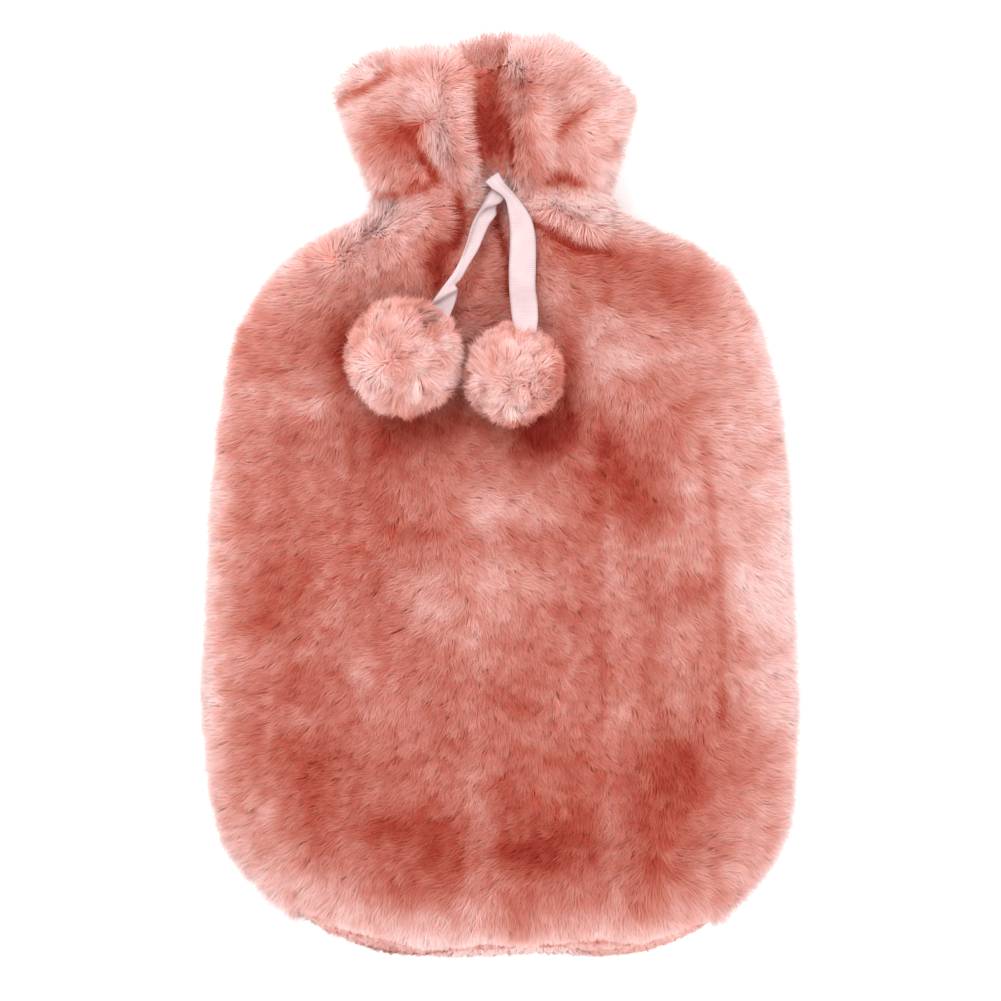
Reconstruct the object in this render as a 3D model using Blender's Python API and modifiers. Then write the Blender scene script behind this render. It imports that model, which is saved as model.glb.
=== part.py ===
"""Plush hot water bottle cover lying on its back: two panels, a ribbon tie and two pompoms.

+Z is up, +Y runs to the mouth, X goes across. The cover keeps the form that a filled bottle gives
it, and its inside is hollow. Each solid reaches as far as the tips of its pile.
"""

import math
from collections import namedtuple

import bmesh
import bpy
import numpy as np
from mathutils import Vector, noise

MM = 0.001  # the tables below are in millimetres

# The cover's wall
SEAM_HEIGHT = 26.0  # of the side seam above the surface the cover lies on
SEAM_GAP = 0.3
SEAM_GROOVE = 3.0
SEAM_GROOVE_HALF_WIDTH = 4.0
WALL = 9.0  # backing and pile together
INNER_FOLD_SHARE = 0.6  # how much of an outer fold shows inside
FRONT_FULLNESS = 2.3  # exponent of the section: 2 is an ellipse, more is squarer
BACK_FULLNESS = 3.2
LUMP_HEIGHT = 2.2  # the front's pile and filling aren't quite even
LUMP_SIZE = 38.0
HEM_Y = -180.0  # from here down the bottom edge has its full wave and set-back
HEM_BLEND = 30.0
HEM_WAVE = 0.8
HEM_WAVE_LENGTH = 61.0
FRONT_HEM_SET_BACK = 3.0  # the back panel shows this far below the front one
NECK_Y = 124.0
MOUTH_Y = 160.0  # where the collar's sides end; the rest of the rim rises from there
HOLLOW_END_Y = -166.0
HOLLOW_END_SHARE = 0.6  # the hollow's rounded bottom, by its last section
POINTS_AROUND = 64
RING_SPACING = 13.0
RIM_STEPS = 4

# The ribbon and its channel in the wall round the neck
RIBBON_WIDTH = 10.8
RIBBON_THICKNESS = 1.0
RIBBON_CLEARANCE = 0.35
RIBBON_Y = 126.0
RIBBON_INSET = 5.0
RIBBON_EXIT_ANGLES = (94.0, 84.0)  # where its ends leave the channel, in degrees from the right
EYELET_MIDDLE = (-2.6, 126.6, 50.0)  # the hole for both ends
EYELET_RADII = (8.5, 8.0, 6.8)
LOOP_STEPS = 44
RUNG_STEPS = 3

# The pompoms: a core with a lock of pile on each of its faces
POMPOM_CORE_SHARE = 0.68
POMPOM_LIFT_SHARE = 0.78  # height of the middle over the dimple, by the radius
POMPOM_TOP_SQUASH = 0.94
POMPOM_CUTS = 3  # 6 faces x 4 x 4 locks
DIMPLE_SHARE = 0.8  # the dimple's half width, by the radius
LOCK_TIP_SHARE = 0.95
LOCK_ROOT_INSET = 0.3
LOCK_CLEARANCE = 0.7
LOCK_FREE_ANGLE = math.radians(24)  # round the ribbon's end

# The cover's sections from the bottom seam to the mouth. front and back are the heights above and
# below the seam, centre is the middle's offset along X.
Section = namedtuple("Section", "y half_width centre front back")
SECTIONS = [
    Section(-181.6, 26.0, 5.0, 1.2, 1.2),  # bottom seam, drawn in between the panels
    Section(-185.2, 36.0, 4.6, 6.0, 6.0),
    Section(-183.0, 57.0, 5.4, 11.5, 11.0),
    Section(-174.5, 79.5, 4.4, 18.5, 17.5),
    Section(-166.0, 91.5, 3.4, 22.5, 22.0),
    Section(-158.0, 100.2, 2.4, 25.5, 25.0),
    Section(-150.0, 107.2, 1.9, 27.5, 27.0),
    Section(-141.0, 112.8, 1.6, 29.2, 28.5),
    Section(-126.0, 117.4, 1.2, 30.8, 29.5),
    Section(-86.0, 120.6, 0.0, 32.0, 30.0),  # widest
    Section(-46.0, 119.2, 0.0, 32.4, 30.0),
    Section(-6.0, 117.8, 0.0, 32.2, 30.0),
    Section(32.0, 114.2, 0.0, 31.6, 30.0),
    Section(58.0, 109.0, -0.4, 30.8, 29.5),
    Section(74.0, 103.6, 0.0, 30.0, 29.0),
    Section(87.0, 95.0, 0.0, 29.0, 28.5),
    Section(98.5, 84.0, 0.2, 28.0, 27.5),  # shoulders
    Section(107.0, 69.4, -0.8, 27.0, 26.5),
    Section(112.6, 55.8, -1.0, 26.0, 25.0),
    Section(117.5, 49.9, -2.8, 25.2, 24.0),
    Section(NECK_Y, 50.6, -3.4, 25.6, 23.6),  # gathered neck
    Section(131.0, 53.6, -4.2, 29.6, 24.6),
    Section(140.0, 56.6, -4.8, 33.4, 26.0),  # collar
    Section(150.0, 58.8, -5.4, 35.8, 26.6),
    Section(MOUTH_Y - 1.0, 60.8, -6.2, 35.6, 26.4),
]

# How far up the wall ends across the mouth, by share of the half width, in front and behind
Rim = namedtuple("Rim", "across front_y back_y")
RIM = [
    Rim(-1.00, 160.0, 161.0),
    Rim(-0.94, 163.0, 168.5),
    Rim(-0.84, 165.5, 174.0),
    Rim(-0.68, 168.0, 176.0),
    Rim(-0.30, 173.0, 176.0),
    Rim(-0.05, 166.5, 181.2),
    Rim(0.12, 171.5, 182.4),
    Rim(0.35, 177.0, 179.2),
    Rim(0.63, 173.0, 174.0),
    Rim(0.83, 165.0, 167.5),
    Rim(0.93, 160.5, 163.0),
    Rim(1.00, 157.0, 157.5),
]

# Folds as straight lines on the cover with a smooth profile; a negative depth is a ridge
Fold = namedtuple("Fold", "x_from y_from x_to y_to depth half_width")
FRONT_FOLDS = [
    Fold(-3.0, 174.0, -6.5, 150.0, 11.0, 7.5),  # deep fold down the middle of the collar
    Fold(-6.0, 146.0, -1.8, 126.0, 9.0, 7.0),
    Fold(-2.0, 122.0, 1.0, 108.0, 6.0, 7.0),
    Fold(1.5, 100.0, 3.0, 72.0, 4.0, 8.0),
    Fold(-20.0, 170.0, -17.0, 132.0, -3.5, 6.5),  # lobes of the collar
    Fold(-43.0, 148.0, -36.0, 144.0, 4.0, 6.5),
    Fold(-32.0, 142.0, -26.5, 131.0, 6.0, 4.5),
    Fold(15.0, 172.0, 12.0, 134.0, -3.0, 7.0),
    Fold(36.0, 157.0, 22.0, 144.0, 5.0, 5.0),
    Fold(25.0, 131.0, 27.0, 123.0, 4.0, 5.0),
    Fold(45.0, 138.0, 46.0, 128.0, 2.0, 5.0),
    Fold(-43.0, 114.0, -24.0, 110.0, -3.5, 7.5),  # shoulders
    Fold(-17.0, 114.0, -16.5, 101.0, 5.0, 4.5),
    Fold(-24.0, 100.0, -23.0, 80.0, 3.5, 6.5),
    Fold(20.0, 114.0, 44.0, 110.0, -3.5, 7.5),
    Fold(18.0, 107.0, 38.0, 98.0, 4.0, 5.0),
    Fold(42.0, 97.0, 64.0, 93.0, 2.5, 6.5),
    Fold(44.0, 84.0, 52.0, 58.0, -2.0, 12.0),
    Fold(30.0, 84.0, 36.0, 62.0, 2.0, 8.0),
    Fold(-70.0, 78.0, -48.0, 98.0, -1.5, 9.0),
]
BACK_FOLDS = [
    Fold(-2.0, 172.0, -3.0, 142.0, 5.0, 7.0),
    Fold(-3.0, 130.0, -3.0, 108.0, 2.4, 7.0),
    Fold(-30.0, 156.0, -26.0, 108.0, 2.4, 6.0),
    Fold(24.0, 156.0, 20.0, 108.0, 2.4, 6.0),
]

# Pompoms, and the dimple that each presses in the pile
Pompom = namedtuple("Pompom", "name x y radius dimple")
POMPOMS = [
    Pompom("pompom_left", -38.6, 56.4, 23.6, 4.0),
    Pompom("pompom_right", 6.2, 48.8, 21.0, 3.5),
]

# The ribbon's two free legs, from the neck to their pompoms, a rung across the ribbon at a time.
# turn is the rung's direction from +X in degrees, tilt lifts its far end, lift is over the pile.
Rung = namedtuple("Rung", "x y lift turn tilt")
RIGHT_LEG = [
    Rung(1.6, 125.0, 2.2, 42.0, 4.0),
    Rung(6.0, 117.0, 1.4, 14.0, 2.0),
    Rung(9.0, 106.0, 1.0, 4.0, 0.0),
    Rung(9.4, 93.0, 1.0, 0.0, 0.0),
    Rung(9.0, 82.0, 2.0, 2.0, 0.0),
]
LEFT_LEG = [
    Rung(0.4, 119.2, 0.7, 120.0, -24.0),
    Rung(-3.6, 110.6, 1.0, 148.0, 0.0),
    Rung(-10.2, 101.0, 2.2, 150.0, 42.0),
    Rung(-17.0, 90.0, 2.6, 150.0, 44.0),
    Rung(-22.6, 81.0, 3.0, 152.0, 24.0),
]

# sRGB as it shows in the middle tones, roughness
PLUSH_FRONT = ((0.84, 0.47, 0.43), 0.85)
PLUSH_BACK = ((0.80, 0.43, 0.39), 0.85)
POMPOM_YARN = ((0.90, 0.60, 0.56), 0.9)
SATIN = ((0.97, 0.86, 0.85), 0.45)


def smooth(knots, values, at):
    """A smooth curve through the values at the knots."""
    slopes = np.gradient(values, knots, axis=0)
    i = int(np.clip(np.searchsorted(knots, at) - 1, 0, len(knots) - 2))
    span = knots[i + 1] - knots[i]
    t = (at - knots[i]) / span
    between = (1 + 2 * t) * (1 - t) ** 2 * values[i] + t * t * (3 - 2 * t) * values[i + 1]
    return between + span * t * (1 - t) * ((1 - t) * slopes[i] - t * slopes[i + 1])


def ease(t):
    t = min(max(t, 0.0), 1.0)
    return t * t * (3 - 2 * t)


STATIONS = np.arange(len(SECTIONS), dtype=float)
SECTION_ROWS = np.array(SECTIONS)
RIM_ROWS = np.array(RIM)


def section(station):
    return Section(*smooth(STATIONS, SECTION_ROWS, station))


FINE_STATIONS = np.linspace(1, len(SECTIONS) - 1, 1200)
FINE_YS = np.array([section(station).y for station in FINE_STATIONS])


def station_at(y):
    return float(np.interp(y, FINE_YS, FINE_STATIONS))


def fold_depth(folds, x, y):
    depth = 0.0
    for fold in folds:
        start = np.array((fold.x_from, fold.y_from))
        run = np.array((fold.x_to, fold.y_to)) - start
        to_point = np.array((x, y)) - start
        share = np.clip(to_point @ run / (run @ run), 0.0, 1.0)
        distance = np.linalg.norm(to_point - share * run)
        depth += fold.depth * math.exp(-((distance / fold.half_width) ** 2))
    return depth


def dimple_depth(x, y):
    depth = 0.0
    for pompom in POMPOMS:
        distance = math.hypot(x - pompom.x, y - pompom.y)
        depth += pompom.dimple * math.exp(-((distance / (DIMPLE_SHARE * pompom.radius)) ** 2))
    return depth


def lump(x, y):
    return LUMP_HEIGHT * noise.noise(Vector((x / LUMP_SIZE, y / LUMP_SIZE, 0.5)))


def crown(across, fullness):
    return (1 - min(abs(across), 1.0) ** fullness) ** (1 / fullness)


def away_from_seam(rise):
    """Folds and dimples fade out towards the side seams."""
    return ease(2 * rise - 0.4)


def front_height(form, x, y, inset=0.0, fold_share=1.0):
    """Height of the front panel over the point (x, y) of a section."""
    rise = crown((x - form.centre) / (form.half_width - inset), FRONT_FULLNESS)
    dent = fold_share * (fold_depth(FRONT_FOLDS, x, y) + dimple_depth(x, y) - lump(x, y))
    return SEAM_HEIGHT + (form.front - inset) * rise - dent * away_from_seam(rise)


def back_height(form, x, y, inset=0.0, fold_share=1.0):
    """Height of the back panel, which lies flat on the surface where its section reaches it."""
    drop = crown((x - form.centre) / (form.half_width - inset), BACK_FULLNESS)
    dent = fold_share * fold_depth(BACK_FOLDS, x, y) * away_from_seam(drop)
    return max(SEAM_HEIGHT - (form.back - inset) * drop, inset) + dent


def pile_height(x, y):
    """Height of the front's pile over a point of the body, the shoulders or the neck."""
    return front_height(section(station_at(y)), x, y)


def rim_rise(across, on_front, y):
    """How far a point of the collar is lifted so that the rim follows its table."""
    column = RIM_ROWS[:, 1] if on_front else RIM_ROWS[:, 2]
    rim_y = smooth(RIM_ROWS[:, 0], column, across)
    return (rim_y - MOUTH_Y) * ease((y - NECK_Y) / (MOUTH_Y - NECK_Y))


def hem_shift(x, on_front, y):
    """The wave of the bottom edge, and the front panel's shorter hem."""
    near_hem = ease((HEM_Y + HEM_BLEND - y) / HEM_BLEND)
    wave = HEM_WAVE * math.sin(2 * math.pi * x / HEM_WAVE_LENGTH)
    return near_hem * (wave + (FRONT_HEM_SET_BACK if on_front else 0.0))


def wall_point(form, angle, inset=0.0, fold_share=1.0):
    """A point of the wall, in mm: angle 0 is the right seam, 90 degrees the front's middle."""
    across = math.cos(angle)
    rise = math.sin(angle)
    on_front = rise > 1e-6
    x = form.centre + (form.half_width - inset) * across
    y = form.y + rim_rise(across, on_front, form.y)
    height = front_height if on_front else back_height
    z = height(form, x, y, inset, fold_share)
    y += hem_shift(x, on_front, form.y) * min(1.0, 3 * abs(rise))
    if inset == 0.0:
        groove = SEAM_GROOVE * math.exp(-(((z - SEAM_HEIGHT) / SEAM_GROOVE_HALF_WIDTH) ** 2))
        x -= math.copysign(groove, across) * min(1.0, 2 * abs(across))
    return Vector((x, y, z))


def ring(station, inset=0.0, fold_share=1.0):
    form = section(station)
    angles = (2 * math.pi * i / POINTS_AROUND for i in range(POINTS_AROUND))
    return [wall_point(form, angle, inset, fold_share) for angle in angles]


def ring_stations(first, last):
    """Stations no further apart than the ring spacing, with every section on a ring."""
    stations = []
    for station in range(first, last):
        run = abs(SECTIONS[station + 1].y - SECTIONS[station].y)
        steps = max(1, math.ceil(run / RING_SPACING))
        stations += [station + i / steps for i in range(steps)]
    return stations + [last]


def cover_rings():
    """Rings from the bottom seam up the outside, over the rim and down the inside."""
    last = len(SECTIONS) - 1
    rings = [ring(station) for station in ring_stations(0, last)]
    outer = rings[-1]
    inner = ring(last, WALL, INNER_FOLD_SHARE)
    for step in range(1, RIM_STEPS):
        roll = math.pi * step / RIM_STEPS
        lift = Vector((0, WALL / 2 * math.sin(roll), 0))
        share = (1 - math.cos(roll)) / 2
        rings.append([a.lerp(b, share) + lift for a, b in zip(outer, inner)])
    hollow_end = round(station_at(HOLLOW_END_Y))
    for station in reversed(ring_stations(hollow_end, last)[::2]):
        rings.append(ring(station, WALL, INNER_FOLD_SHARE))
    middle = sum(rings[-1], Vector()) / POINTS_AROUND
    drop = Vector((0, -WALL / 2, 0))
    rings.append([middle.lerp(point, HOLLOW_END_SHARE) + drop for point in rings[-1]])
    return rings


def finished_mesh(bm, name):
    """The mesh of a shape drawn in mm."""
    bmesh.ops.scale(bm, verts=bm.verts, vec=(MM, MM, MM))
    mesh = bpy.data.meshes.new(name)
    bm.to_mesh(mesh)
    bm.free()
    return mesh


def loft(name, rings):
    """A closed skin over the rings, with a flat cap on each end."""
    bm = bmesh.new()
    loops = [[bm.verts.new(point) for point in points] for points in rings]
    for lower, upper in zip(loops, loops[1:]):
        for i in range(POINTS_AROUND):
            j = (i + 1) % POINTS_AROUND
            bm.faces.new((lower[i], lower[j], upper[j], upper[i]))
    bm.faces.new(loops[0])
    bm.faces.new(loops[-1])
    bmesh.ops.recalc_face_normals(bm, faces=bm.faces)
    return finished_mesh(bm, name)


def strip(name, rungs, width, closed=False):
    """A ribbon's surface through its rungs, each a middle and a direction across, in mm."""
    bm = bmesh.new()
    edges = []
    for middle, across in rungs:
        half = across * (width / 2)
        edges.append((bm.verts.new(middle - half), bm.verts.new(middle + half)))
    following = edges[1:] + edges[:1] if closed else edges[1:]
    for (a, b), (c, d) in zip(edges, following):
        bm.faces.new((a, c, d, b))
    return finished_mesh(bm, name)


def cloth_material(name, look):
    colour, roughness = look
    material = bpy.data.materials.new(name)
    material.use_nodes = True
    shader = material.node_tree.nodes["Principled BSDF"]
    linear = [((value + 0.055) / 1.055) ** 2.4 for value in colour]
    shader.inputs["Base Color"].default_value = (*linear, 1.0)
    shader.inputs["Roughness"].default_value = roughness
    shader.inputs["Metallic"].default_value = 0.0
    return material


def add_object(name, mesh, collection, material=None):
    thing = bpy.data.objects.new(name, mesh)
    collection.objects.link(thing)
    if material is not None:
        mesh.materials.append(material)
    return thing


def add_cutter(name, mesh, collection):
    cutter = add_object(name, mesh, collection)
    cutter.hide_render = True
    cutter.display_type = "WIRE"
    return cutter


def half_space(name, from_z, side, collection):
    """A box larger than the cover, above (side 1) or below (side -1) a height in mm."""
    reach = 500.0
    bm = bmesh.new()
    bmesh.ops.create_cube(bm, size=reach)
    bmesh.ops.translate(bm, verts=bm.verts, vec=Vector((0, 0, from_z + side * reach / 2)))
    return add_cutter(name, finished_mesh(bm, name), collection)


def eyelet(name, collection):
    bm = bmesh.new()
    bmesh.ops.create_uvsphere(bm, u_segments=16, v_segments=8, radius=1.0)
    bmesh.ops.scale(bm, verts=bm.verts, vec=EYELET_RADII)
    bmesh.ops.translate(bm, verts=bm.verts, vec=EYELET_MIDDLE)
    return add_cutter(name, finished_mesh(bm, name), collection)


def channel(name, collection):
    """The space the ribbon runs in, all the way round the neck."""
    rungs = [loop_rung(2 * math.pi * i / LOOP_STEPS) for i in range(LOOP_STEPS)]
    band = strip(name, rungs, RIBBON_WIDTH + 2 * RIBBON_CLEARANCE, closed=True)
    cutter = add_cutter(name, band, collection)
    solidify(cutter, RIBBON_THICKNESS + 2 * RIBBON_CLEARANCE)
    return cutter


def boolean(thing, operation, cutter):
    modifier = thing.modifiers.new(f"{operation} {cutter.name}", "BOOLEAN")
    modifier.operation = operation
    modifier.object = cutter
    modifier.solver = "EXACT"


def solidify(thing, thickness):
    modifier = thing.modifiers.new("thickness", "SOLIDIFY")
    modifier.thickness = thickness * MM
    modifier.offset = 0.0
    modifier.use_even_offset = True


def loop_rung(angle):
    """A place in the channel: the wall's middle, and the way across the ribbon."""
    form = section(station_at(RIBBON_Y))
    return wall_point(form, angle, RIBBON_INSET, fold_share=0.0), Vector((0, 1, 0))


def resting_rung(row):
    """A rung of a free leg, clear of the pile all the way across."""
    turn = math.radians(row.turn)
    tilt = math.radians(row.tilt)
    flat_way = Vector((math.cos(turn), math.sin(turn), 0.0))
    across = flat_way * math.cos(tilt) + Vector((0, 0, math.sin(tilt)))
    under = []
    for share in (-1.0, -0.5, 0.0, 0.5, 1.0):
        offset = across * (share * RIBBON_WIDTH / 2)
        under.append(pile_height(row.x + offset.x, row.y + offset.y) - offset.z)
    z = max(under) + row.lift + RIBBON_THICKNESS / 2
    return Vector((row.x, row.y, z)), across


def leg_rungs(leg, pompom):
    """A free leg's rungs, over the pile and between the locks to its pompom's core."""
    rows = np.array(leg)
    knots = np.arange(len(leg), dtype=float)
    steps = (len(leg) - 1) * RUNG_STEPS
    rungs = [resting_rung(Rung(*smooth(knots, rows, i / RUNG_STEPS))) for i in range(steps + 1)]
    middle, across = rungs[-1]
    heart = pompom_heart(pompom)
    inward = (heart - middle).normalized()
    end = heart - inward * (POMPOM_CORE_SHARE * pompom.radius + RIBBON_THICKNESS)
    square_across = across - inward * across.dot(inward)
    for share in (0.5, 1.0):
        rungs.append((middle.lerp(end, share), across.lerp(square_across, share).normalized()))
    return rungs


def pompom_heart(pompom):
    z = pile_height(pompom.x, pompom.y) + LOCK_CLEARANCE + POMPOM_LIFT_SHARE * pompom.radius
    return Vector((pompom.x, pompom.y, z))


def ribbon_rungs():
    """From the right pompom up to the neck, round it in the channel, and down to the left one."""
    left_exit, right_exit = (math.radians(angle) for angle in RIBBON_EXIT_ANGLES)
    way_round = 2 * math.pi + right_exit - left_exit
    loop = [loop_rung(left_exit + way_round * i / LOOP_STEPS) for i in range(LOOP_STEPS + 1)]
    left_pompom, right_pompom = POMPOMS
    right_leg = leg_rungs(RIGHT_LEG, right_pompom)
    return right_leg[::-1] + loop + leg_rungs(LEFT_LEG, left_pompom)


def pompom_mesh(pompom, heart, ribbon_end):
    """A core with a lock on each of its faces, shorter where the pompom rests."""
    free_way = (ribbon_end - heart).normalized()
    bm = bmesh.new()
    bmesh.ops.create_cube(bm, size=2.0)
    bmesh.ops.subdivide_edges(bm, edges=bm.edges, cuts=POMPOM_CUTS, use_grid_fill=True)
    for vert in bm.verts:
        vert.co = vert.co.normalized() * pompom.radius * POMPOM_CORE_SHARE
    rooted = [
        face
        for face in bm.faces
        if face.calc_center_median().angle(free_way) > LOCK_FREE_ANGLE
    ]
    bmesh.ops.inset_individual(bm, faces=rooted, thickness=LOCK_ROOT_INSET)
    tips = bmesh.ops.extrude_discrete_faces(bm, faces=rooted)["faces"]
    for tip in tips:
        root = tip.calc_center_median()
        reach = root.normalized() * pompom.radius
        if reach.z > 0:
            reach.z *= POMPOM_TOP_SQUASH
        for vert in tip.verts:
            vert.co = reach + (vert.co - root) * LOCK_TIP_SHARE
            floor = pile_height(heart.x + vert.co.x, heart.y + vert.co.y) + LOCK_CLEARANCE
            vert.co.z = max(vert.co.z, floor - heart.z)
    bmesh.ops.recalc_face_normals(bm, faces=bm.faces)
    return finished_mesh(bm, pompom.name)


def build_cover(parts, cutters):
    rings = cover_rings()
    above = half_space("cut_above_seam", SEAM_HEIGHT + SEAM_GAP / 2, 1, cutters)
    below = half_space("cut_below_seam", SEAM_HEIGHT - SEAM_GAP / 2, -1, cutters)
    ribbon_channel = channel("cut_channel", cutters)
    exit_hole = eyelet("cut_eyelet", cutters)
    for name, side, look in (("front_panel", above, PLUSH_FRONT), ("back_panel", below, PLUSH_BACK)):
        panel = add_object(name, loft(name, rings), parts, cloth_material(f"{name}_plush", look))
        boolean(panel, "INTERSECT", side)
        boolean(panel, "DIFFERENCE", ribbon_channel)
        if side is above:
            boolean(panel, "DIFFERENCE", exit_hole)
        panel.data.shade_smooth()


def build_ribbon(parts):
    rungs = ribbon_rungs()
    material = cloth_material("ribbon_satin", SATIN)
    ribbon = add_object("ribbon", strip("ribbon", rungs, RIBBON_WIDTH), parts, material)
    solidify(ribbon, RIBBON_THICKNESS)
    right_end = rungs[0][0]
    left_end = rungs[-1][0]
    return left_end, right_end


def build_pompoms(parts, ribbon_ends):
    for pompom, ribbon_end in zip(POMPOMS, ribbon_ends):
        heart = pompom_heart(pompom)
        mesh = pompom_mesh(pompom, heart, ribbon_end)
        material = cloth_material(f"{pompom.name}_yarn", POMPOM_YARN)
        add_object(pompom.name, mesh, parts, material).location = heart * MM


def main():
    for thing in list(bpy.data.objects):
        bpy.data.objects.remove(thing, do_unlink=True)
    parts = bpy.data.collections.new("hot_water_bottle_cover")
    cutters = bpy.data.collections.new("cutters")
    for collection in (parts, cutters):
        bpy.context.scene.collection.children.link(collection)
    build_cover(parts, cutters)
    ribbon_ends = build_ribbon(parts)
    build_pompoms(parts, ribbon_ends)


main()
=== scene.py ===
import math

import bmesh
import bpy
import numpy as np
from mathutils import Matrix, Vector, noise


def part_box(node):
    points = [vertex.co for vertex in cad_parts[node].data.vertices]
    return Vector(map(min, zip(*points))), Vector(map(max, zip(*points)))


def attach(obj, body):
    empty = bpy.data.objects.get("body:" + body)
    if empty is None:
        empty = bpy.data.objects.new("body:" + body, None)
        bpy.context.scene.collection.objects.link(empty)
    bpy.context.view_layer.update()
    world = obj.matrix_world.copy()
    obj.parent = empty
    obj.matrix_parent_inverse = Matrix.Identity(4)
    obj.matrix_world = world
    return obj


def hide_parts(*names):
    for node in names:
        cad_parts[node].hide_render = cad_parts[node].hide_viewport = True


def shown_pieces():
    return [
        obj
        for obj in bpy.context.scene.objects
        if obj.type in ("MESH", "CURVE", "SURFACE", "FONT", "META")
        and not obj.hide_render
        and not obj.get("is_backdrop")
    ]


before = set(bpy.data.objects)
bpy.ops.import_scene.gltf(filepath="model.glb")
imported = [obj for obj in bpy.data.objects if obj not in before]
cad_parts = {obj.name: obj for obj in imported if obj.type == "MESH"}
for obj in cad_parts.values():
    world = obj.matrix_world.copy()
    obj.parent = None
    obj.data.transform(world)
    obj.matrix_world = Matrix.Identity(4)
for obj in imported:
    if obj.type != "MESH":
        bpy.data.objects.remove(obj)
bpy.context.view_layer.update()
mm = 0.001  # the tables of places and sizes are in millimetres
print("frame loaded:", ", ".join(sorted(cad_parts)))


# Camera, lights and floor

white = (1.0, 1.0, 1.0, 1.0)
studio = {
    "camera height": 3000.0,
    "looks at": (0.2, -1.8),
    "view width": 401.7,  # at the height of the side seams
    "seam height": 26.0,
    "floor": (0.93, 0.93, 0.93, 1.0),
    "floor glow": 0.3,
    "floor reach": 6.0,  # metres
    "world": 1.135,
    "softboxes": {  # place and size in metres, watts, tint
        "key light": ((-0.45, 0.9, 1.5), 0.8, 12.6, (1.0, 0.99, 0.98)),
        "fill light": ((0.7, -0.5, 1.8), 1.4, 8.6, (1.0, 1.0, 1.0)),
    },
}


def newObject(name, data):
    thing = bpy.data.objects.new(name, data)
    bpy.context.scene.collection.objects.link(thing)
    return thing


def addCamera():
    data = bpy.data.cameras.new("camera")
    data.sensor_width = 36.0
    data.lens = data.sensor_width * (studio["camera height"] - studio["seam height"]) / studio["view width"]
    data.clip_start = 0.1
    data.clip_end = 20.0
    camera = newObject("camera", data)
    camera.location = Vector((*studio["looks at"], studio["camera height"])) * mm
    bpy.context.scene.camera = camera


def addSoftbox(name, place, size, watts, tint):
    data = bpy.data.lights.new(name, "AREA")
    data.shape = "DISK"
    data.size = size
    data.energy = watts
    data.color = tint
    lamp = newObject(name, data)
    lamp.location = place
    lamp.rotation_euler = (-Vector(place)).to_track_quat("-Z", "Y").to_euler()


addCamera()
for lampName, lampSettings in studio["softboxes"].items():
    addSoftbox(lampName, *lampSettings)


# Node trees, for materials and for geometry

class Wire:
    # one output of a node: a sum on it adds Math or Vector Math nodes
    def __init__(self, bench, socket):
        self.bench = bench
        self.socket = socket

    def isVector(self):
        return self.socket.type in ("VECTOR", "RGBA")

    def work(self, operation, *parts):
        vector = any(isinstance(part, Wire) and part.isVector() for part in parts)
        kind = "ShaderNodeVectorMath" if vector else "ShaderNodeMath"
        made = self.bench.node(kind, {"operation": operation}, dict(enumerate(parts)))
        return Wire(self.bench, made.outputs[1 if operation == "DOT_PRODUCT" else 0])

    def times(self, other):
        if isinstance(other, Wire) and other.isVector() and not self.isVector():
            return other.times(self)
        if self.isVector() and not (isinstance(other, Wire) and other.isVector()):
            made = self.bench.node("ShaderNodeVectorMath", {"operation": "SCALE"}, {0: self, "Scale": other})
            return Wire(self.bench, made.outputs[0])
        return self.work("MULTIPLY", self, other)

    def __add__(self, other):
        return self.work("ADD", self, other)

    def __radd__(self, other):
        return self.work("ADD", other, self)

    def __sub__(self, other):
        return self.work("SUBTRACT", self, other)

    def __rsub__(self, other):
        return self.work("SUBTRACT", other, self)

    def __mul__(self, other):
        return self.times(other)

    def __rmul__(self, other):
        return self.times(other)

    def __rtruediv__(self, other):
        return self.work("DIVIDE", other, self)

    def sin(self):
        return self.work("SINE", self)

    def cos(self):
        return self.work("COSINE", self)

    def magnitude(self):
        return self.work("ABSOLUTE", self)

    def sign(self):
        return self.work("SIGN", self)

    def isOver(self, other):
        return self.work("GREATER_THAN", self, other)

    def atLeast(self, other):
        return self.work("MAXIMUM", self, other)

    def atMost(self, other):
        return self.work("MINIMUM", self, other)

    def dot(self, other):
        return self.work("DOT_PRODUCT", self, other)

    def cross(self, other):
        return self.work("CROSS_PRODUCT", self, other)

    def unit(self):
        return self.work("NORMALIZE", self)

    def part(self, axis):
        return Wire(self.bench, self.bench.node("ShaderNodeSeparateXYZ", {}, {0: self}).outputs[axis])


class Bench:
    # a node tree that is being built
    def __init__(self, tree):
        self.tree = tree

    def node(self, kind, settings, values):
        made = self.tree.nodes.new(kind)
        for name, setting in settings.items():
            if name == "stops":
                self.setStops(made.color_ramp.elements, setting)
            else:
                setattr(made, name, setting)
        for name, value in values.items():
            socket = self.findInput(made, name)
            if isinstance(value, Wire):
                self.tree.links.new(value.socket, socket)
            else:
                socket.default_value = value
        return made

    def findInput(self, made, name):
        if isinstance(name, int):
            return made.inputs[name]
        return next(socket for socket in made.inputs if socket.name == name and socket.enabled)

    def setStops(self, stops, wanted):
        while len(stops) < len(wanted):
            stops.new(1.0)
        for stop, (position, colour) in zip(stops, wanted):
            stop.position = position
            stop.color = linear(*colour)

    def wire(self, kind, settings, values, output=0):
        made = self.node(kind, settings, values)
        if isinstance(output, str):
            found = next(socket for socket in made.outputs if socket.name == output and socket.enabled)
            return Wire(self, found)
        return Wire(self, made.outputs[output])

    def vector(self, x, y, z):
        return self.wire("ShaderNodeCombineXYZ", {}, {0: x, 1: y, 2: z})


def linear(*colour):  # an sRGB colour of 0 to 255 as Blender's own numbers
    parts = [value / 255 for value in colour]
    return (*(v / 12.92 if v <= 0.04045 else ((v + 0.055) / 1.055) ** 2.4 for v in parts), 1.0)


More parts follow.
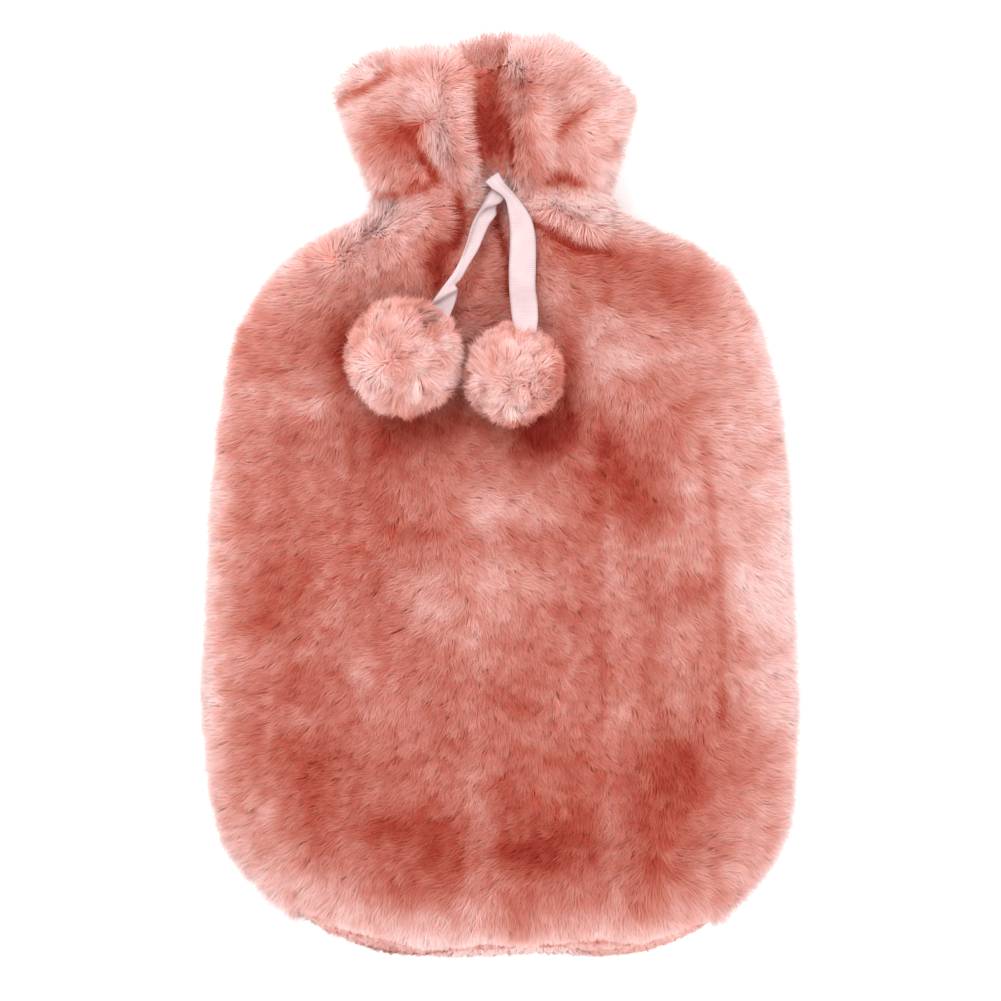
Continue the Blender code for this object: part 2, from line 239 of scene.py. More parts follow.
def newMaterial(name, **constants):
    material = bpy.data.materials.new(name)
    material.use_nodes = True
    shader = material.node_tree.nodes["Principled BSDF"]
    for socket, value in constants.items():
        shader.inputs[socket.replace("_", " ")].default_value = value
    return material, Bench(material.node_tree), shader


def colourBy(bench, shader, paleness, stops):
    colour = bench.wire("ShaderNodeValToRGB", {"stops": stops}, {"Fac": paleness})
    bench.tree.links.new(colour.socket, shader.inputs["Base Color"])


def bumpBy(bench, shader, height, strength, distance):
    bump = bench.wire("ShaderNodeBump", {}, {"Strength": strength, "Distance": distance, "Height": height})
    bench.tree.links.new(bump.socket, shader.inputs["Normal"])


def finishFloor():
    glow = {"Emission_Color": white, "Emission_Strength": studio["floor glow"]}
    looks = {"Base_Color": studio["floor"], "Roughness": 0.9, "Specular_IOR_Level": 0.1}
    material, _, _ = newMaterial("light table", **looks, **glow)
    mesh = bpy.data.meshes.new("floor")
    reach = studio["floor reach"]
    corners = [(-reach, -reach, 0), (reach, -reach, 0), (reach, reach, 0), (-reach, reach, 0)]
    mesh.from_pydata(corners, [], [(0, 1, 2, 3)])
    mesh.materials.append(material)
    newObject("floor", mesh)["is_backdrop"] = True


def finishWorld():
    world = bpy.data.worlds.new("studio")
    world.use_nodes = True
    background = world.node_tree.nodes["Background"]
    background.inputs["Color"].default_value = white
    background.inputs["Strength"].default_value = studio["world"]
    bpy.context.scene.world = world
    bpy.context.scene.view_settings.view_transform = "Standard"


finishFloor()
finishWorld()
print("studio set")


# The plush's two skins, from the outer faces of the CAD panels

plush = {
    "pile": 5.4,  # from the backing to the tips, which end at the CAD surface
    "pile at the hem": 0.8,
    "hem below": -168.0,
    "backing": 1.2,
    "rim drop": 3.0,  # the backing's fold lies this far below the tips at the mouth
    "rim drop fades over": 16.0,
    "rolled edge": 5.0,  # how far down the mouth's edge is rounded
    "facing": 13.0,  # how far the plush turns in at the mouth
    "centre line": (-100.0, 60.0),  # from y to y: the outer faces look away from it
    "near the seam": 9.0,  # where steep faces are told apart by whether they look away from that line
    "steep": 0.75,
    "blends at the seam": (4.0, 2.0),  # over these heights, before and after smoothing
    "edge kept to the seam": 1.6,
    "others kept to the seam": 0.1,
    "overlap at the seam": 0.8,
    "fineness": {1: 3, -1: 2},  # subdivisions of the CAD's faces, where strands grow, front and back
}

# Where the pile is combed: x, y, direction of the tips in degrees, pile length
combFront = [
    (-108, 39, 185, 11), (-114, -2, 190, 11), (-116, -42, 185, 11), (-118, -82, 185, 12),
    (-115, -114, 192, 12), (-104, -142, 215, 12), (-84, -164, 236, 13), (-52, -176, 262, 14),
    (-20, -178, 268, 14), (12, -178, 272, 14), (48, -176, 276, 14), (80, -168, 300, 13),
    (100, -150, 320, 12), (114, -122, 345, 12), (118, -82, 355, 12), (116, -42, 350, 12), (112, 6, 350, 12),
    (106, 42, 0, 12), (94, 75, 8, 12), (76, 91, 10, 13), (56, 103, 355, 13), (42, 112, 310, 12),
    (20, 113, 215, 11), (48, 94, 350, 14), (28, 93, 320, 11), (31, 108, 262, 11), (72, 104, 55, 20),
    (84, 94, 45, 19), (60, 112, 65, 17), (-78, 106, 145, 13), (-92, 94, 145, 13), (40, 67, 330, 12),
    (50, 53, 300, 13), (44, 35, 265, 12), (60, 27, 280, 13), (76, 39, 345, 12), (24, 38, 260, 10),
    (88, 10, 330, 12), (96, -18, 310, 12), (98, -50, 300, 13), (104, -66, 320, 12), (64, 6, 285, 11),
    (56, -18, 260, 10), (24, -6, 325, 11), (12, -30, 320, 11), (24, -50, 315, 11), (40, -62, 300, 10),
    (-8, -2, 340, 12), (-6, -26, 300, 11), (-28, -42, 215, 12), (-40, -58, 200, 11), (-36, -6, 270, 10),
    (-60, -10, 182, 9), (-80, 6, 215, 10), (-88, -22, 225, 10), (-98, -50, 200, 11), (-80, -50, 240, 10),
    (-68, -74, 260, 10), (-92, -82, 200, 11), (-32, -82, 250, 11), (-8, -62, 275, 11), (16, -82, 280, 11),
    (40, -94, 300, 10), (72, -90, 280, 11), (76, -66, 285, 12), (60, -114, 250, 10), (24, -118, 300, 10),
    (-20, -114, 250, 10), (-40, -134, 190, 10), (-24, -146, 185, 11), (-68, -114, 200, 10),
    (-88, -122, 215, 11), (-72, -150, 235, 12), (0, -142, 200, 11), (16, -134, 180, 10), (48, -142, 215, 10),
    (80, -142, 15, 12), (96, -114, 350, 12), (40, -162, 268, 13), (0, -164, 268, 13), (-40, -164, 262, 13),
    (-80, 103, 150, 11), (-96, 83, 165, 11), (-104, 63, 180, 11), (-64, 83, 225, 11), (-80, 59, 210, 11),
    (-78, 38, 200, 11), (-70, 30, 275, 12), (-50, 113, 10, 10), (-62, 104, 60, 10), (-36, 116, 10, 11),
    (-22, 109, 350, 12), (-32, 101, 318, 11), (-55, 101, 330, 11), (-42, 91, 245, 11), (-42, 103, 320, 11),
    (-48, 97, 265, 11), (-18, 91, 270, 8), (-4, 91, 0, 8), (-4, 71, 10, 10), (-62, 161, 170, 11),
    (-60, 171, 150, 14), (-40, 177, 110, 16), (-24, 181, 95, 16), (-8, 183, 90, 15), (4, 183, 85, 15),
    (24, 179, 70, 14), (40, 170, 45, 13), (52, 159, 0, 11), (53, 143, 350, 11), (49, 127, 340, 10),
    (40, 125, 280, 10), (24, 125, 265, 9), (16, 139, 300, 11), (24, 155, 60, 11), (36, 163, 20, 12),
    (40, 143, 0, 11), (30, 139, 320, 11), (0, 163, 270, 8), (-2, 147, 270, 8), (-2, 133, 270, 8),
    (-18, 171, 20, 11), (-18, 155, 0, 12), (-20, 139, 350, 12), (-22, 129, 320, 11), (-32, 159, 120, 11),
    (-44, 159, 160, 11), (-52, 143, 190, 11), (-54, 131, 215, 10), (-42, 133, 265, 10), (-32, 133, 240, 9),
    (-42, 125, 260, 10),
]
combBack = [
    (-112, 40, 190, 11), (-116, -60, 190, 11), (-108, -140, 215, 11), (-70, -172, 245, 12),
    (0, -180, 270, 12), (70, -172, 295, 12), (108, -140, 325, 11), (116, -60, 350, 11), (112, 40, 350, 11),
    (60, 40, 280, 11), (-60, 40, 260, 11), (0, 0, 270, 11), (-60, -80, 255, 11), (60, -80, 285, 11),
    (0, -130, 270, 11), (80, 100, 20, 11), (-80, 100, 160, 11), (40, 115, 300, 10), (-40, 115, 240, 10),
    (0, 110, 270, 10), (-60, 160, 170, 11), (52, 158, 10, 11), (-40, 178, 110, 11), (0, 184, 90, 11),
    (36, 176, 60, 11), (0, 150, 270, 10), (-30, 150, 250, 10), (28, 150, 290, 10),
]

# Deep and pale places in the front's pile, partly painted shade and sheen and partly its own mottling:
# x, y, half width, half height, paleness added in percent, and for some a turn in degrees
shades = [
    # left side, from the shoulder down
    (-80, 92, 20, 14, 20, 30), (-88, 38, 22, 7, 16), (-80, -28, 9, 12, -14), (-93, -46, 10, 12, -18),
    (-98, -64, 8, 5, 12), (-82, -76, 13, 6, -14), (-84, -89, 8, 5, 6), (-97, -96, 6, 5, -12),
    (-78, -108, 10, 9, -16), (-75, -126, 8, 14, -19), (-98, -130, 10, 16, 18, -20),
    (-80, -154, 22, 8, 26, -25), (-100, 54, 10, 8, -5), (-112, -40, 5, 40, 8), (-65, 104, 9, 6, -12, 20),
    (-109, -85, 8, 12, 12), (97, -82, 7, 7, 10), (-60, -105, 40, 16, -6), (-117, -85, 7, 45, 20),
    (-114, 0, 6, 20, 14), (112, -18, 7, 32, 14), (117, -95, 6, 30, 14),
    # left of the middle
    (-45, 108, 22, 10, 28), (-45, 92, 15, 7, 10), (-46, 84, 10, 3, -12), (-70, 60, 8, 9, -14, 20),
    (-72, 36, 7, 6, 14), (-64, 34, 3, 10, -10), (-38, 25, 20, 6, -20), (-48, 8, 6, 16, -18),
    (-49, -32, 5, 12, -10), (-34, -14, 9, 4, -14), (-28, -42, 9, 12, 24, 10), (-8, -4, 8, 10, 24),
    (8, -5, 14, 5, 19), (-4, -36, 12, 14, 25), (12, -36, 10, 8, 13), (-8, -58, 6, 9, 14),
    (-55, -70, 5, 5, 12), (-44, -90, 7, 10, 12), (0, -80, 8, 4, -13), (18, 26, 12, 8, -36),
    (-24, 95, 5, 10, -30), (-6, 84, 9, 10, -8), (-36, -6, 5, 4, 8), (-64, -12, 6, 10, 6),
    # right of the middle
    (48, -26, 7, 12, 12), (48, -56, 5, 5, 13), (48, -86, 5, 7, 12), (47, 6, 9, 13, -26, -15),
    (56, -8, 8, 8, -16), (75, 8, 8, 9, 20), (78, -12, 9, 10, 10), (70, -24, 9, 7, 18), (75, -54, 8, 7, 16),
    (71, -84, 6, 6, 10), (84, -88, 6, 8, -8), (42, 20, 6, 9, -20), (55, 31, 6, 5, 13), (72, 28, 8, 6, 5),
    (32, 4, 5, 8, -12), (32, -48, 8, 6, -5),
    # right side
    (103, -40, 12, 18, 38), (100, 36, 14, 40, 26), (106, -80, 9, 14, 22), (104, -130, 10, 30, 10),
    (92, -144, 10, 14, 14), (88, 20, 8, 30, 18), (103, 8, 10, 12, 8),
    # right shoulder
    (40, 112, 22, 8, 26, -12), (28, 99, 9, 4, -22, -20), (42, 95, 14, 5, -14), (58, 88, 18, 5, -12, -8),
    (66, 78, 12, 7, -16), (44, 68, 12, 6, 18), (50, 55, 9, 5, 26, -10), (74, 58, 16, 9, 20),
    (28, 58, 4, 8, -5),
    # the deep band above the hem
    (-40, -130, 12, 6, -22), (-22, -143, 12, 10, -25), (-48, -136, 8, 5, -12), (12, -143, 14, 6, -28),
    (30, -134, 10, 10, -24), (8, -128, 10, 8, -15), (28, -150, 14, 8, -10), (-30, -155, 14, 8, -10),
    (62, -138, 12, 12, -18), (72, -104, 6, 7, -24), (60, -112, 9, 10, -17), (76, -116, 8, 8, -16),
    (66, -126, 14, 8, -12), (24, -112, 20, 8, -7), (8, -171, 8, 7, -18), (50, -162, 16, 6, -5),
    # collar
    (-40, 144, 11, 8, -38), (-42, 133, 11, 9, -22), (-20, 152, 8, 14, 10), (-5, 150, 6, 12, -62),
    (0, 138, 7, 9, -38), (-3, 170, 7, 7, -30), (-10, 176, 5, 5, -10), (12, 163, 10, 4, -12),
    (26, 150, 5, 5, -14, 40), (9, 138, 5, 9, -8), (12, 128, 8, 6, -8), (24, 127, 7, 4, -22),
    (39, 152, 6, 14, 12), (-54, 168, 9, 6, 12, 30), (-58, 161, 6, 3, -12, 20), (-50, 123, 8, 5, -10),
    (-31, 122, 9, 4, -20), (-16, 112, 2.5, 9, -30), (24, 178, 20, 5, 12), (3, 150, 5, 12, -30),
    (-12, 150, 3, 14, -32), (-11, 172, 5, 7, -28), (9, 170, 7, 5, 22), (40, 133, 6, 8, -10),
    # mended against the photograph
    (24, 113, 9, 4, 20), (-26, 107, 7, 7, 15), (20, 80, 5, 8, 14), (-67, 75, 7, 6, 12), (-80, 35, 12, 8, 9),
    (-108, 0, 4, 7, 10), (-63, -44, 6, 6, 12), (43, -28, 4, 14, 13), (96, -35, 8, 20, 10),
    (34, 16, 7, 5, 10), (56, 30, 6, 6, 8), (-32, -84, 12, 9, 7), (-111, -93, 4, 10, 8), (68, -160, 12, 5, 8),
    (0, 137, 5, 5, 24), (-38, 135, 5, 6, 14), (-71, 97, 9, 5, -10, 20), (-20, -126, 6, 9, -12),
    (12, -102, 6, 7, -10), (10, -22, 14, 6, -8, -20), (60, -56, 5, 5, -8), (90, 42, 7, 10, -12),
    (86, 68, 8, 7, -10), (75, -88, 12, 5, -6), (100, -108, 7, 6, -8), (-49, -20, 4, 8, -10),
    (-96, -115, 5, 10, -7), (-32, 172, 12, 4, -12), (0, 180, 14, 4, -14), (-11, 149, 3, 8, -15),
    (46, -120, 12, 10, -4), (82, 5, 5, 10, -6), (-42, 112, 12, 11, 13), (-52, 95, 8, 10, 11),
    (-45, 82, 10, 6, 10), (-13, 78, 7, 8, 10), (18, 108, 7, 8, 12), (20, 86, 6, 10, 10),
    (37, 50, 10, 16, 10), (-30, 150, 9, 13, 12), (-38, 165, 8, 6, 8), (46, 106, 8, 5, 12),
    (42, -42, 6, 26, 8), (28, -80, 10, 10, 8), (102, 12, 8, 10, -12), (-104, 40, 7, 9, -7),
    (86, 30, 10, 14, -6), (64, 98, 12, 5, 10, -15), (92, 82, 7, 7, 13), (-72, 94, 12, 8, -8, 30),
    (-72, -170, 13, 6, -16, -25), (30, -179, 16, 5, -14), (0, 3, 18, 8, 8), (20, -8, 10, 8, 8),
    (-25, -50, 7, 6, 9), (74, -70, 10, 10, 8), (-45, -54, 5, 8, -6), (60, -90, 5, 8, -12),
    (106, -62, 8, 5, -12), (92, -135, 14, 8, -8), (90, -106, 7, 5, -8), (-93, -106, 7, 14, -7),
    (-57, -106, 10, 8, -5), (26, -108, 12, 12, -5), (28, 122, 16, 3, -14), (-56, 132, 5, 12, -10),
    (0, 96, 8, 18, 10), (-88, -4, 12, 12, -5), (0, 176, 8, 5, 10), (-22, 160, 5, 18, 5),
    # beside the pompoms: painted shadow where paleness is taken away, paler tufts where it is added
    (-14, 30, 8, 6, -20), (27, 44, 4, 14, -30), (-61, 56, 5, 13, -28), (-12, 66, 5, 8, 16),
    (40, 54, 9, 10, 20), (34, 76, 10, 8, 10), (22, 24, 12, 6, -12),
]
hemLine = [  # where the front's pile ends over the hem: x, y
    (-77, -168), (-69, -171), (-60, -175.5), (-50, -177), (-41, -179.5), (-30, -183), (-18, -181.5),
    (-4, -180.5), (11, -181), (26, -179.5), (40, -178.5), (50, -179.5), (60, -179.5), (70, -176), (81, -172),
]

# Creases in the front's pile: half width, paleness taken away as painted shade (below 0 a paler line),
# share of the pile taken away, points
creases = [
    (1.8, 0.45, 0.5, [(-62, 158), (-54, 162), (-47, 165), (-43, 169)]),
    (1.8, 0.3, 0.15, [(-8, 170), (-1, 174)]),
    (1.6, 0.35, 0.4, [(-17, 171), (-10, 171)]),
    (2.2, 0.35, 0.3, [(-38, 147), (-33, 139), (-30, 134)]),
    (2.4, 0.6, 0.6, [(-31, 135), (-28, 131), (-25, 126)]),
    (1.3, 0.45, 0.5, [(-12, 160), (-12, 146), (-9, 134)]),
    (5.0, 0.1, 0.5, [(-5, 158), (-5, 146), (-2, 136)]),
    (1.2, 0.45, 0.4, [(4, 150), (6, 143), (6, 133)]),
    (2.6, 0.3, 0.3, [(35, 156), (29, 150), (22, 144)]),
    (2.2, 0.3, 0.3, [(43, 142), (44, 138)]),
    (2.4, 0.45, 0.4, [(19, 126), (26, 128), (31, 125)]),
    (2.2, 0.0, 0.6, [(-12, 172), (-13, 156), (-11, 140)]),
    (1.8, 0.45, 0.4, [(-50, 119), (-41, 120)]),
    (1.8, 0.35, 0.3, [(-28, 124), (-36, 121)]),
    (1.4, 0.6, 0.6, [(-17, 117), (-16.5, 108), (-17.5, 100)]),
    (1.8, 0.3, 0.3, [(-17, 122), (-17, 112), (-20, 101), (-25, 95), (-30, 92)]),
    (2.4, 0.4, 0.3, [(-25, 100), (-25, 84)]),
    (1.6, 0.6, 0.5, [(-2, 110), (0, 102), (3, 92), (3, 80)]),
    (2.4, 0.5, 0.5, [(15, 109), (22, 104), (30, 99), (42, 98)]),
    (2.0, 0.13, 0.12, [(40, 24), (39, -4), (40, -50), (41, -84)]),
    (1.8, 0.16, 0.12, [(80, 22), (84, -4), (87, -40), (88, -92)]),
    (2.0, 0.1, 0.1, [(-58, 26), (-59, -10), (-60, -50)]),
    (4.5, -0.11, 0.0, [(-9, -70), (-9, -104), (-10, -178)]),
    (4.0, -0.09, 0.0, [(44, -120), (45, -168)]),
    (4.0, -0.07, 0.0, [(-64, -108), (-62, -148)]),
]


def mergedCopy(node):
    bm = bmesh.new()
    bm.from_mesh(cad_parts[node].data)
    bmesh.ops.remove_doubles(bm, verts=bm.verts, dist=0.02 * mm)
    bm.normal_update()
    return bm


def meshFrom(bm, name):
    mesh = bpy.data.meshes.new(name)
    bm.to_mesh(mesh)
    bm.free()
    return mesh


def rimLine(bm, spacing=4.0):  # how far up the panel reaches, at even steps across
    steps = np.arange(-66, 64, spacing) * mm  # over the collar's width
    places = np.array([vert.co for vert in bm.verts])
    tops = []
    for x in steps:
        near = np.abs(places[:, 0] - x) < spacing * mm
        tops.append(places[near, 1].max())
    return steps, np.array(tops)


def largestPiece(faces):
    left, best = set(faces), []
    while left:
        grown, edge = set(), [left.pop()]
        while edge:
            face = edge.pop()
            grown.add(face)
            for side in face.edges:
                for other in side.link_faces:
                    if other in left:
                        left.discard(other)
                        edge.append(other)
        if len(grown) > len(best):
            best = grown
    return best


def isSeamFace(face, side, seam):  # the flat faces where the two panels meet
    return side * face.normal.z < -0.95 and abs(face.calc_center_median().z - seam) < 0.4 * mm


def plushSkin(node, side):  # side 1 is the front, -1 the back
    bm = mergedCopy(node)
    seam = studio["seam height"] * mm
    rimX, rimY = rimLine(bm)
    rest = largestPiece(face for face in bm.faces if not isSeamFace(face, side, seam))
    foot, head = (y * mm for y in plush["centre line"])
    kept, outer = [], {}
    for face in rest:
        middle, normal = face.calc_center_median(), face.normal
        up = side * normal.z
        fromCentre = Vector((middle.x, middle.y - min(max(middle.y, foot), head)))
        nearSeam = abs(middle.z - seam) < plush["near the seam"] * mm and up < plush["steep"]
        isOuter = normal.xy.dot(fromCentre) > 0 if nearSeam else up > 0
        below = np.interp(middle.x, rimX, rimY) - middle.y
        if isOuter or below < (plush["facing"] + plush["rim drop"]) * mm:
            kept.append(face)
            outer[face] = isOuter
    bmesh.ops.delete(bm, geom=list(set(bm.faces) - set(kept)), context="FACES")
    bm.normal_update()
    bm.verts.index_update()
    weights = np.array([
        np.mean([outer.get(face, False) for face in vert.link_faces]) if vert.link_faces else 0.0
        for vert in bm.verts
    ])
    below = np.array([np.interp(v.co.x, rimX, rimY) - v.co.y for v in bm.verts]) / mm
    places = np.array([v.co for v in bm.verts])
    normals = np.array([v.normal for v in bm.verts])
    atHem = places[:, 1] < plush["hem below"] * mm
    depth = np.where(atHem, plush["pile at the hem"], plush["pile"]) * mm
    roll = below < plush["rolled edge"]
    inward = -normals * (depth * (weights > 0.5))[:, None]
    inward = relax(bm, inward, roll, rounds=30)
    # at the seam the two skins stay in touch
    overSeam = np.abs(places[:, 2] - seam)
    first, second = plush["blends at the seam"]
    inward[:, 2] *= ramp(overSeam, first * mm)
    inward[:, 1] -= plush["rim drop"] * mm * np.clip(1 - below / plush["rim drop fades over"], 0, 1)
    inward = relax(bm, inward, np.full(len(places), True), rounds=2, own=0.5)
    inward[:, 2] *= ramp(overSeam, second * mm)
    for vert, move in zip(bm.verts, inward):
        vert.co += Vector(move)
        over = side * (vert.co.z - seam)
        reach = plush["edge kept to the seam" if vert.is_boundary else "others kept to the seam"]
        if over < reach * mm:
            vert.co.z = seam - side * plush["overlap at the seam"] * mm
    bmesh.ops.dissolve_degenerate(bm, edges=bm.edges, dist=0.0003)
    bmesh.ops.join_triangles(bm, faces=bm.faces, angle_face_threshold=0.7, angle_shape_threshold=1.2)
    return meshFrom(bm, node + "_skin")


def relax(bm, values, free, rounds, own=0.0):  # spreads a vector over the free points from their neighbours
    pairs = np.array([(edge.verts[0].index, edge.verts[1].index) for edge in bm.edges])
    values = values.copy()
    count = np.zeros(len(values))
    np.add.at(count, pairs[:, 0], 1)
    np.add.at(count, pairs[:, 1], 1)
    for _ in range(rounds):
        total = np.zeros_like(values)
        np.add.at(total, pairs[:, 0], values[pairs[:, 1]])
        np.add.at(total, pairs[:, 1], values[pairs[:, 0]])
        mean = total / np.maximum(count, 1)[:, None]
        values[free] = own * values[free] + (1 - own) * mean[free]
    return values


def ramp(values, over):  # rises from 0, where values are 0, to 1, where they reach over
    return np.clip(values / over, 0, 1)


def madeMesh(thing):  # the thing's mesh as its modifiers leave it
    graph = bpy.context.evaluated_depsgraph_get()
    return bpy.data.meshes.new_from_object(thing.evaluated_get(graph), depsgraph=graph)


def subdivided(mesh, levels):
    thing = newObject("skin being made", mesh)
    finer = thing.modifiers.new("finer", "SUBSURF")
    finer.levels = finer.render_levels = levels
    finer.boundary_smooth = "ALL"
    made = madeMesh(thing)
    bpy.data.objects.remove(thing)
    bpy.data.meshes.remove(mesh)
    made.shade_smooth()
    return made


def readVectors(items, field):
    values = np.empty(len(items) * 3, np.float32)
    items.foreach_get(field, values)
    return values.reshape(-1, 3).astype(float)


def setFields(mesh, **fields):  # a number or a vector at each point
    for name, values in fields.items():
        isVector = values.ndim == 2
        layer = mesh.attributes.new(name, "FLOAT_VECTOR" if isVector else "FLOAT", "POINT")
        layer.data.foreach_set("vector" if isVector else "value", values.astype(np.float32).ravel())


def byRows(places, rows):  # each place's mean of the rows near it
    rows = np.array(rows, float)
    apart = np.linalg.norm(places[:, None, :2] / mm - rows[None, :, :2], axis=2)
    share = 1 / (apart + 2.0) ** 3.2  # near rows count for far more
    share /= share.sum(1, keepdims=True)
    angle = np.radians(rows[:, 2])
    way = share @ np.stack([np.cos(angle), np.sin(angle)], 1)
    likeness = np.linalg.norm(way, axis=1)  # 1 where the rows agree, near 0 where the pile parts
    return way / likeness[:, None], share @ rows[:, 3], likeness


def patchwork(places):  # paleness from the table of shades
    paleness = np.zeros(len(places))
    for x, y, wide, high, percent, *turned in shades:
        offset = places[:, :2] / mm - (x, y)
        turn = math.radians(turned[0]) if turned else 0.0
        c, s = math.cos(turn), math.sin(turn)
        across = (offset @ (c, s)) / wide
        along = (offset @ (-s, c)) / high
        paleness += percent / 100 * np.exp(-0.7 * (across ** 2 + along ** 2))
    return paleness


def apartFrom(places, points):  # each place's distance to a line, in millimetres
    flat = places[:, :2] / mm
    least = np.full(len(flat), np.inf)
    for start, end in zip(np.array(points[:-1], float), np.array(points[1:], float)):
        run = end - start
        share = np.clip(((flat - start) @ run) / (run @ run), 0, 1)
        least = np.minimum(least, np.linalg.norm(flat - start - share[:, None] * run, axis=1))
    return least


def creased(places):  # paleness and share of the pile that the creases take away
    deeper, shorter = np.zeros(len(places)), np.zeros(len(places))
    for width, amount, cut, points in creases:
        apart = apartFrom(places, points)
        # painted shade in each crease, and a paler line where the amount is below 0
        deeper += amount * np.exp(-((apart / width) ** 2))
        shorter = np.maximum(shorter, cut * np.exp(-((apart / (width + 1.0)) ** 2)))
    return deeper, shorter


def cloud(places, size, seed):  # soft noise from about -1 to 1
    rough, finerBy, octaves = 0.6, 2.1, 3
    shift = Vector((seed, 0, 0))
    return np.array([noise.fractal(Vector(p) / (size * mm) + shift, rough, finerBy, octaves) for p in places])


def layFlat(ways, up):  # each way without its part across the skin
    comb = ways - up * np.sum(ways * up, 1, keepdims=True)
    return comb / np.maximum(np.linalg.norm(comb, axis=1, keepdims=True), 1e-4)


# How the pile stands and how pale it is, where 0 is the deepest shade and 1 the palest
coat = {
    "lift": 35.0,  # degrees between a strand and the skin
    "lift more at partings": 5.0,
    "lift at the front's hem": 30.0,
    "lift underneath": 17.0,
    "comb wavers": 0.35,  # radians
    "paleness": 0.42,
    "painted rim light at the sides": 0.5,
    "less so in the middle fold": 0.3,
    "middle fold": {"x": -6, "half width": 26, "from": 100, "to": 176, "blend": 8},
    "large clouds": 0.09,
    "small clouds": 0.08,
    "collar": (112, 10, 0.24),  # from y, over, and paler by
    "front's bottom": (-158, 20, 0.38),
    "back's bottom": (-155, 20, 0.28),
    "hem": 0.8,
    "painted shadow at the pile's end": 0.4,
    "shortest at the pile's end": 2.2,
    "back's hem lower and shorter by": (0.4, 0.65),
}


def dressSkin(mesh, side, rows):
    places, up = readVectors(mesh.vertices, "co"), readVectors(mesh.vertex_normals, "vector")
    x, y = places[:, 0] / mm, places[:, 1] / mm
    way, length, likeness = byRows(places, rows)
    wander = coat["comb wavers"] * cloud(places, size=22.0, seed=3.0)
    c, s = np.cos(wander), np.sin(wander)
    flat = np.stack([way[:, 0] * c - way[:, 1] * s, way[:, 0] * s + way[:, 1] * c, np.zeros(len(way))], 1)
    parting = np.clip(1 - likeness, 0, 1)
    lift = coat["lift"] + coat["lift more at partings"] * parting
    steep = 1 - np.abs(up[:, 2])  # 0 on top, 1 at the sides
    fold = coat["middle fold"]
    inFold = ramp(fold["half width"] - np.abs(x - fold["x"]), fold["blend"])
    inFold = inFold * ramp(y - fold["from"], fold["blend"]) * ramp(fold["to"] - y, fold["blend"])
    steep = np.clip(steep * (1 - coat["less so in the middle fold"] * inFold), 0, 1)
    # painted rim light: the pile is paler where its skin turns steep at the sides, less so in the middle fold
    tone = coat["paleness"] + coat["painted rim light at the sides"] * steep ** 0.8
    large, small = cloud(places, size=24.0, seed=7.0), cloud(places, size=8.0, seed=1.0)
    tone += coat["large clouds"] * large + coat["small clouds"] * small
    start, over, paler = coat["collar"]
    tone += paler * ramp(y - start, over)
    if side > 0:
        deeper, shorter = creased(places)
        # painted shade and sheen from the table of shades, and painted shade along the creases
        tone += patchwork(places) - deeper
        length = length * (1 - shorter)
        hemX, hemY = np.array(hemLine, float).T
        over = y - np.interp(x, hemX, hemY) + 0.7 * cloud(places, size=10.0, seed=5.0)
        atHem = (x > hemX[0] - 4) & (x < hemX[-1] + 4) & (y < -150)
        start, fade, paler = coat["front's bottom"]
        tone += paler * ramp(start - y, fade)
        tone[atHem & (over < 0.8)] = coat["hem"]
        # painted shadow under the pile's end, just above the hem band
        tone[atHem & (over > 0.3) & (over < 1.6)] -= coat["painted shadow at the pile's end"]
        growing = np.clip(over * 1.25 - 0.5, coat["shortest at the pile's end"], length)
        length = np.where(atHem, growing, length)
        lift = np.where(atHem, coat["lift at the front's hem"], lift)
    else:
        under = ramp(0.012 - places[:, 2], 0.006)
        atHem = ramp(-150 - y, 20)
        lower, shorter = coat["back's hem lower and shorter by"]
        lift = (lift * (1 - under) + coat["lift underneath"] * under) * (1 - lower * atHem)
        length = length * (1 - shorter * atHem)
        start, fade, paler = coat["back's bottom"]
        tone += paler * ramp(start - y, fade)
    tone = np.clip(tone, 0.02, 0.96)
    comb = layFlat(flat, up)
    setFields(mesh, up=up, comb=comb, tone=tone, length=length * mm, lift=np.radians(lift), wild=parting)
    return mesh


# The pile, one tree for every piece of it

strand = {
    "shortest": 0.74,  # of the length at its place
    "longest": 1.1,
    "lift varies": 0.22,  # radians
    "twist": 0.5,
    "stands before it lies": 0.35,
    "narrows": 0.12,
    "shade varies": 0.055,
    "lock's shade varies": 0.18,
    "wild": 0.45,  # how much more strands stray at partings
    "wisps": 1.8,  # how far neighbours turn together, in radians
    "wisps per metre": 160.0,
    "rounded over a lock": 1.1,
    "rounded over a strand": (0.35, 0.7),  # across it, and by the way it faces
    "upward at the sides": 1.5,
}


